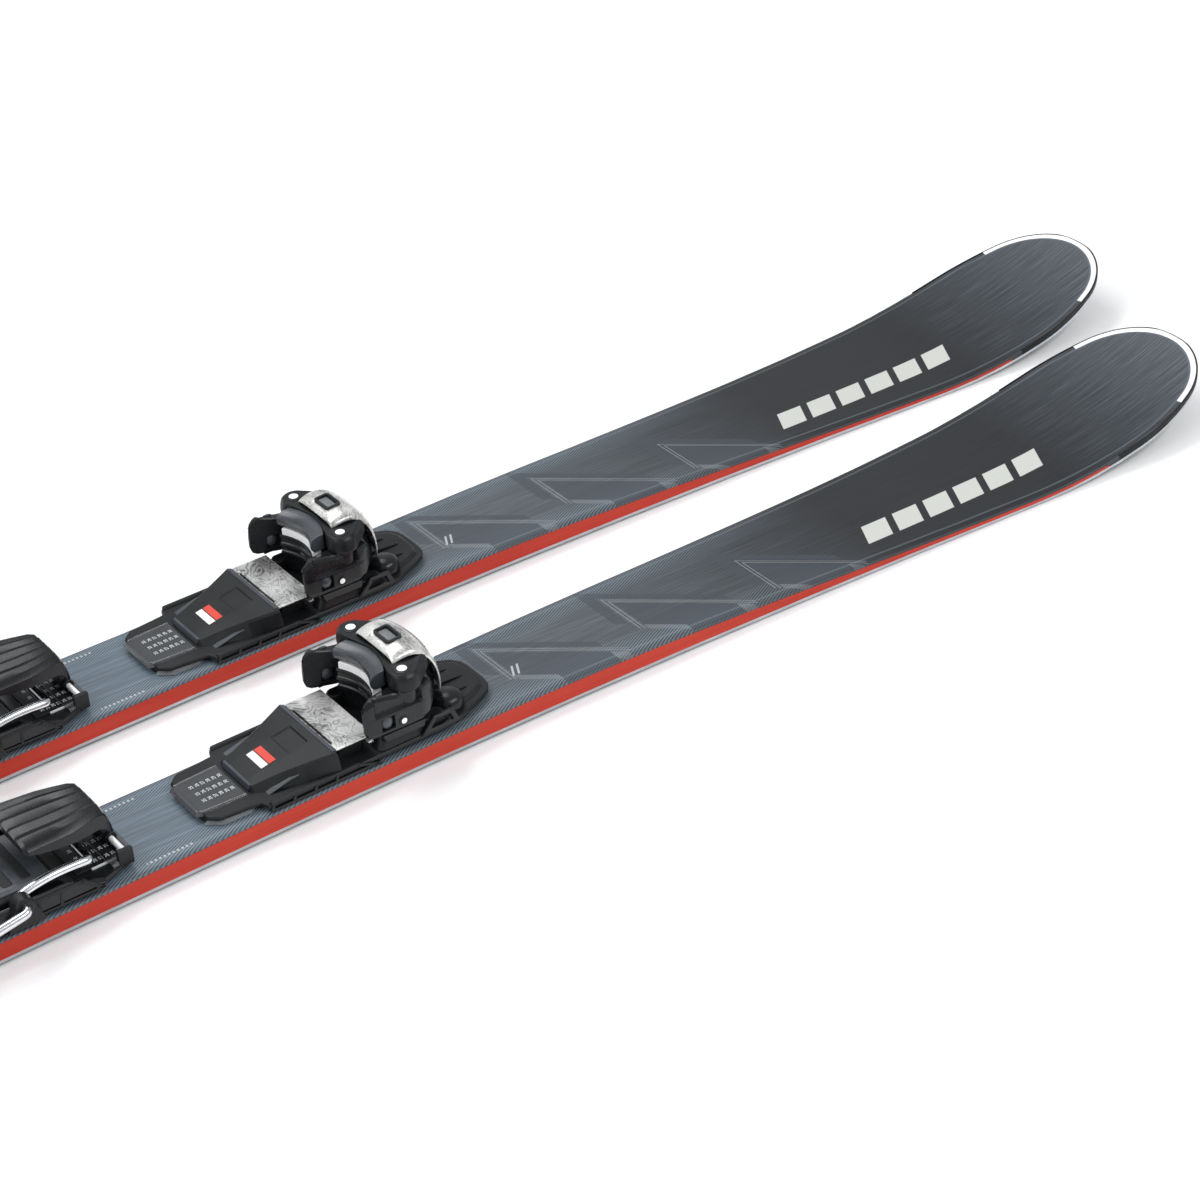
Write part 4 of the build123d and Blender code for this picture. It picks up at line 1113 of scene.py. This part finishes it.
def build_heel_scale(side):
    plate = mirrored([(-104.2, 17), (-105.0, 21.6), (-112, 22.4), (-139, 22.4)])
    add_piece("heel_scale_plate", side, *slab(plate, 23.4, 25.5, shrink(plate, 0.5)), "heel_carriage",
              "rail", bevel=0.2)
    end = mirrored([(-100.4, 15.5), (-102.2, 22.0), (-110, 28.6), (-118, 31)])
    inner = mirrored([(-103.8, 14.5), (-104.8, 20.4), (-111, 22.8), (-119, 23.2)])
    frame = ring(end, inner, lambda x, y, k: (x - 0.9 * k, y * (1 - 0.035 * k), 21.8 + 5.0 * k))
    add_piece("heel_scale_cover", side, *frame, "heel_carriage", "smoked", ["heel_scale_window"], bevel=0.4)
    # light grey strips along both long edges of the clear cover: painted highlights, standing in for the
    # light caught by the clear plastic's edges
    edges = [slab(aside(hand, [(-104.6, 22.2), (-104.6, 23.4), (-129, 23.8), (-129, 22.6)]), 24.6, 26.0)
             for hand in HANDS.values()]
    add_piece("heel_scale_edge_highlights", side, *merge(*edges), "heel_carriage", "print", bevel=0.25)
    entries = [(str(24 + i), -108.0 - 3.9 * i, 17.0 - 8.5 * row, 25.54) for i in range(7) for row in range(5)]
    numbers("heel_scale_numbers", side, entries, "heel_carriage", 3.5)


def build_heel_cup(side):
    """The heel housing: a rounded shell that grips the sole's heel, with ribs and bright side plates."""
    outline = [(-228, 37.0), (-226, 39.5), (-243, 41.5), (-246, 46.0), (-247.5, 60.0), (-247, 66.5),
               (-234, 67.6), (-230.6, 70.5), (-231.4, 75.4), (-240, 80.4), (-254, 84.0), (-270, 84.6),
               (-286, 79.4), (-298, 70.4), (-304.6, 60), (-303, 50), (-293, 41.6), (-274, 32.0),
               (-256, 31.8), (-243, 35.4)]
    cx, cz = -268.0, 58.0
    loops = []
    for y, size in ((-27.4, 0.80), (-26.6, 0.90), (-24.6, 0.97), (-20.0, 1.0), (-12.0, 1.0), (0.0, 1.0),
                    (12.0, 1.0), (20.0, 1.0), (24.6, 0.97), (26.6, 0.90), (27.4, 0.80)):
        loop = []
        for x, z in outline:
            depth = 5.6 if -250 < x < -242 and z > 40 else 3.0 if x >= -242 else 0.0
            hollow = depth * (1 - (y / 26.0) ** 2)
            px, pz = cx + (x - cx) * size, cz + (z - cz) * size
            loop.append((px - max(0.0, hollow) * 0.8, y, pz))
        loops.append(loop)
    verts, faces = rings(loops)
    ears = [rings([[(x, hand * y, z) for x, z in arc(CUP_HINGE[0], CUP_HINGE[2], 7.6, 0, 350, 22)]
                   for y in (24.0, 29.6)]) for hand in HANDS.values()]
    add_piece("cup_shell", side, *merge((verts, faces), *ears), "cup", "wing", ["heel_cup"],
              slot="wing_black", bevel=0.6, angle=22)
    for i, y in enumerate((-15.0, -5.0, 5.0, 15.0)):
        rib = plank([(-246, 82.2), (-256, 84.6), (-270, 85.2), (-284, 80.6), (-284, 78), (-246, 80)],
                    y - 1.3, y + 1.3)
        add_piece(f"heel_cup_rib_{i + 1}", side, *rib, "cup", "black", slot="wing_black", bevel=0.4)
    for name, hand in HANDS.items():
        plate = rings([[(x, hand * y, z) for x, z in line] for y, line in (
            (26.2, [(-250, 46), (-252, 64), (-262, 74), (-280, 70), (-292, 58), (-286, 48), (-270, 42)]),
            (27.75, [(-251.6, 47.4), (-253.4, 63.2), (-262.6, 72.2), (-279, 68.6), (-290, 57.8), (-285, 49.4),
                     (-270, 43.8)]))])
        add_piece(f"heel_cup_{name}_plate", side, *plate, "cup", "foil", bevel=0.35)
        boss = lathe(aside(hand, [(0.4, 35.3), (4.6, 35.3), (5.2, 35.7), (5.0, 36.3), (2.4, 36.5),
                                  (2.0, 35.9), (0.4, 35.9)]), CUP_HINGE, "y", 28)
        add_piece(f"heel_{name}_pivot_cap", side, *boss, "heel_carriage", "pin")
    lip = rings([[(x + dx, y, z) for x, z in ((-229.4, 70.6), (-228.4, 72.6), (-230.0, 76.4),
                                              (-233.0, 78.0), (-236.0, 73.0))]
                 for y, dx in ((-24, -3.6), (-20, -2.4), (-10, -2.4), (0, -2.9), (10, -2.4), (20, -2.4),
                               (24, -3.6))])
    add_piece("heel_cup_lip", side, *lip, "cup", "grey", bevel=0.4)


def build_heel_lever(side):
    """The opening lever: two side arms, a thumb plate with grip bars and a bright cap."""
    arm = [(-264, 66), (-268, 72.6), (-284, 81), (-300, 91), (-316, 99.4), (-330, 104), (-340, 105.6),
           (-340, 101), (-326, 94), (-308, 84), (-290, 71), (-276, 60.6), (-268, 60)]
    arms = []
    for hand in HANDS.values():
        slim = [(x + (-1.2 if x > -300 else 1.2) * 0.6, z - 0.6) for x, z in arm]
        arms.append(rings([[(x, hand * 28.3, z) for x, z in arm], [(x, hand * 32.0, z) for x, z in arm],
                           [(x, hand * 33.2, z) for x, z in slim]]))
    plate = rings([[(x, y, z - 1.4 * (y / 28.0) ** 2) for x, z in ((-312, 93), (-310, 97.6), (-322, 102.4),
                                                                   (-336, 106.0), (-341, 105.6),
                                                                   (-340, 101.6), (-326, 96))]
                   for y in (-30, -24, -12, 0, 12, 24, 30)])
    add_piece("lever_body", side, *merge(*arms, plate), "lever", "black", ["heel_lever"], slot="wing_black",
              bevel=0.6, angle=22)
    cap = rings([[(x, y, z - 1.4 * (y / 28.0) ** 2) for x, z in ((-313, 98.4), (-315, 99.8), (-331, 105.6),
                                                                 (-335, 105.4), (-333, 104), (-316, 97.6))]
                 for y in (-19, -12, 0, 12, 19)])
    add_piece("heel_lever_cap", side, *cap, "lever", "foil", bevel=0.4)
    for i in range(4):
        x, z = -318.0 - 4.2 * i, 101.0 + 1.5 * i
        grip = plank([(x - 1.2, z), (x - 0.8, z + 1.0), (x + 0.8, z + 0.6), (x + 1.2, z - 0.4)], -13.0, 13.0)
        add_piece(f"heel_lever_grip_{i + 1}", side, *grip, "lever", "rail", bevel=0.25)
    for name, hand in HANDS.items():
        screw = lathe(aside(hand, [(0.4, 33.0), (3.4, 33.0), (3.9, 33.5), (3.6, 34.2), (0.4, 34.3)]),
                      LEVER_HINGE, "y", 24)
        add_piece(f"heel_lever_{name}_rivet", side, *screw, "lever", "pin")


def build_heel_pad(side):
    pad = hump(24.7, 1.6, 2.2, ((-222, 24.5, 35.0), (-220, 26, 37.6), (-214, 26, 38), (-160, 26, 38),
                                (-155, 26, 37.6), (-153, 24.5, 35.0)))
    add_piece("pad_body", side, *pad, "heel_carriage", "grey", ["heel_pad"], bevel=0.5, angle=20)
    grooves = [slab(rounded(-218 + 11.6 * i, -211 + 11.6 * i, -22, 22, 2.4), 37.8, 38.5,
                    rounded(-217.4 + 11.6 * i, -211.6 + 11.6 * i, -21.4, 21.4, 2)) for i in range(5)]
    add_piece("heel_pad_tread", side, *merge(*grooves), "heel_carriage", "rail", bevel=0.25)


def build_brake(side):
    """One bent chrome wire from arm tip to arm tip, with a moulded grip on each tip."""
    half = [(-132.7, 24, 39.3), (-132.7, 29.4, 39.3), (-133.6, 31, 39.5), (-139, 31.4, 40.4),
            (-156, 31.4, 41.0), (-170, 31.2, 38.6), (-177.4, 31.4, 36.4), (-180, 33.0, 36), (-180, 38, 36),
            (-180, 44.6, 36), (-181.0, 47.2, 35.8), (-185, ARM_Y, 35.0), (-200, ARM_Y, 32.4),
            (-260, ARM_Y, 22.1), (-330, ARM_Y, 10.2), (-336, ARM_Y, 9.2)]
    path = [(x, -y, z) for x, y, z in reversed(half)] + half
    tube("brake_wire", side, path, 2.9, "brake", "wire", ["brake_arms"])
    reach = Vector((-156.0, 0.0, -26.8)).normalized()
    loops_of = []
    for hand in HANDS.values():
        centre = Vector((-336.0, hand * ARM_Y, 9.2))
        loops = []
        for along, wide, tall in ((-27, 3.4, 3.2), (-25.6, 4.4, 4.0), (-18, 5.2, 4.4), (-6, 5.6, 4.7),
                                  (3, 5.4, 4.4), (6.0, 3.6, 2.8)):
            middle = centre + reach * along
            loops.append([(middle.x - reach.z * tall * math.sin(a), middle.y + wide * math.cos(a),
                           middle.z + tall * math.sin(a)) for a in (math.radians(18 * i)
                                                                    for i in range(20))])
        loops_of.append(rings(loops))
        for i in range(4):
            middle = centre + reach * (-20 + 5.5 * i)
            loops_of.append(rings([[(m.x, m.y + (w + 0.5) * math.cos(a), m.z + (w - 0.3) * math.sin(a))
                                    for a in (math.radians(20 * j) for j in range(18))]
                                   for m, w in ((middle, 4.8), (middle + reach * 1.8, 4.9))]))
    add_piece("tip_grips", side, *merge(*loops_of), "brake", "rail", ["brake_tips"], bevel=0.3, angle=40)


def dress_cad(side, node, look, bevel=0.0):
    """A better material, and small rounded edges, on a CAD node whose shape is right."""
    cad = NODES[f"{side}_{node}"]
    cad.data.materials.clear()
    cad.data.materials.append(M[look])
    if bevel:
        cad.modifiers.new("weld", "WELD").merge_threshold = 1e-5
        step = cad.modifiers.new("bevel", "BEVEL")
        step.width, step.segments, step.limit_method = bevel * MM, 2, "ANGLE"
        step.angle_limit = math.radians(38)
        cad.modifiers.new("normals", "WEIGHTED_NORMAL").keep_sharp = True


DRESS = {
    "running_base": ("base", 0), "steel_edges": ("edge", 0), "wood_core": ("core", 0),
    "sidewalls": ("sidewall", 0), "toe_track": ("rail", 0.4), "heel_track": ("rail", 0.4),
    "mounting_screws": ("screw", 0), "pivot_pins": ("pin", 0.5), "toe_spring": ("spring", 0),
    "toe_release_screw": ("screw", 0.3), "heel_release_screw": ("screw", 0.3),
}

for side in SIDES:
    for node, (look, bevel) in DRESS.items():
        dress_cad(side, node, look, bevel)
    build_topsheet(side)
    build_guards(side)
    build_toe_base(side)
    build_toe_scale(side)
    build_ramp(side)
    build_afd(side)
    build_toe_stop(side)
    build_toe_cover(side)
    build_wing(side, "left", 1)
    build_wing(side, "right", -1)
    build_heel_base(side)
    build_heel_scale(side)
    build_heel_pad(side)
    build_heel_cup(side)
    build_heel_lever(side)
    build_pedal(side)
    build_brake(side)
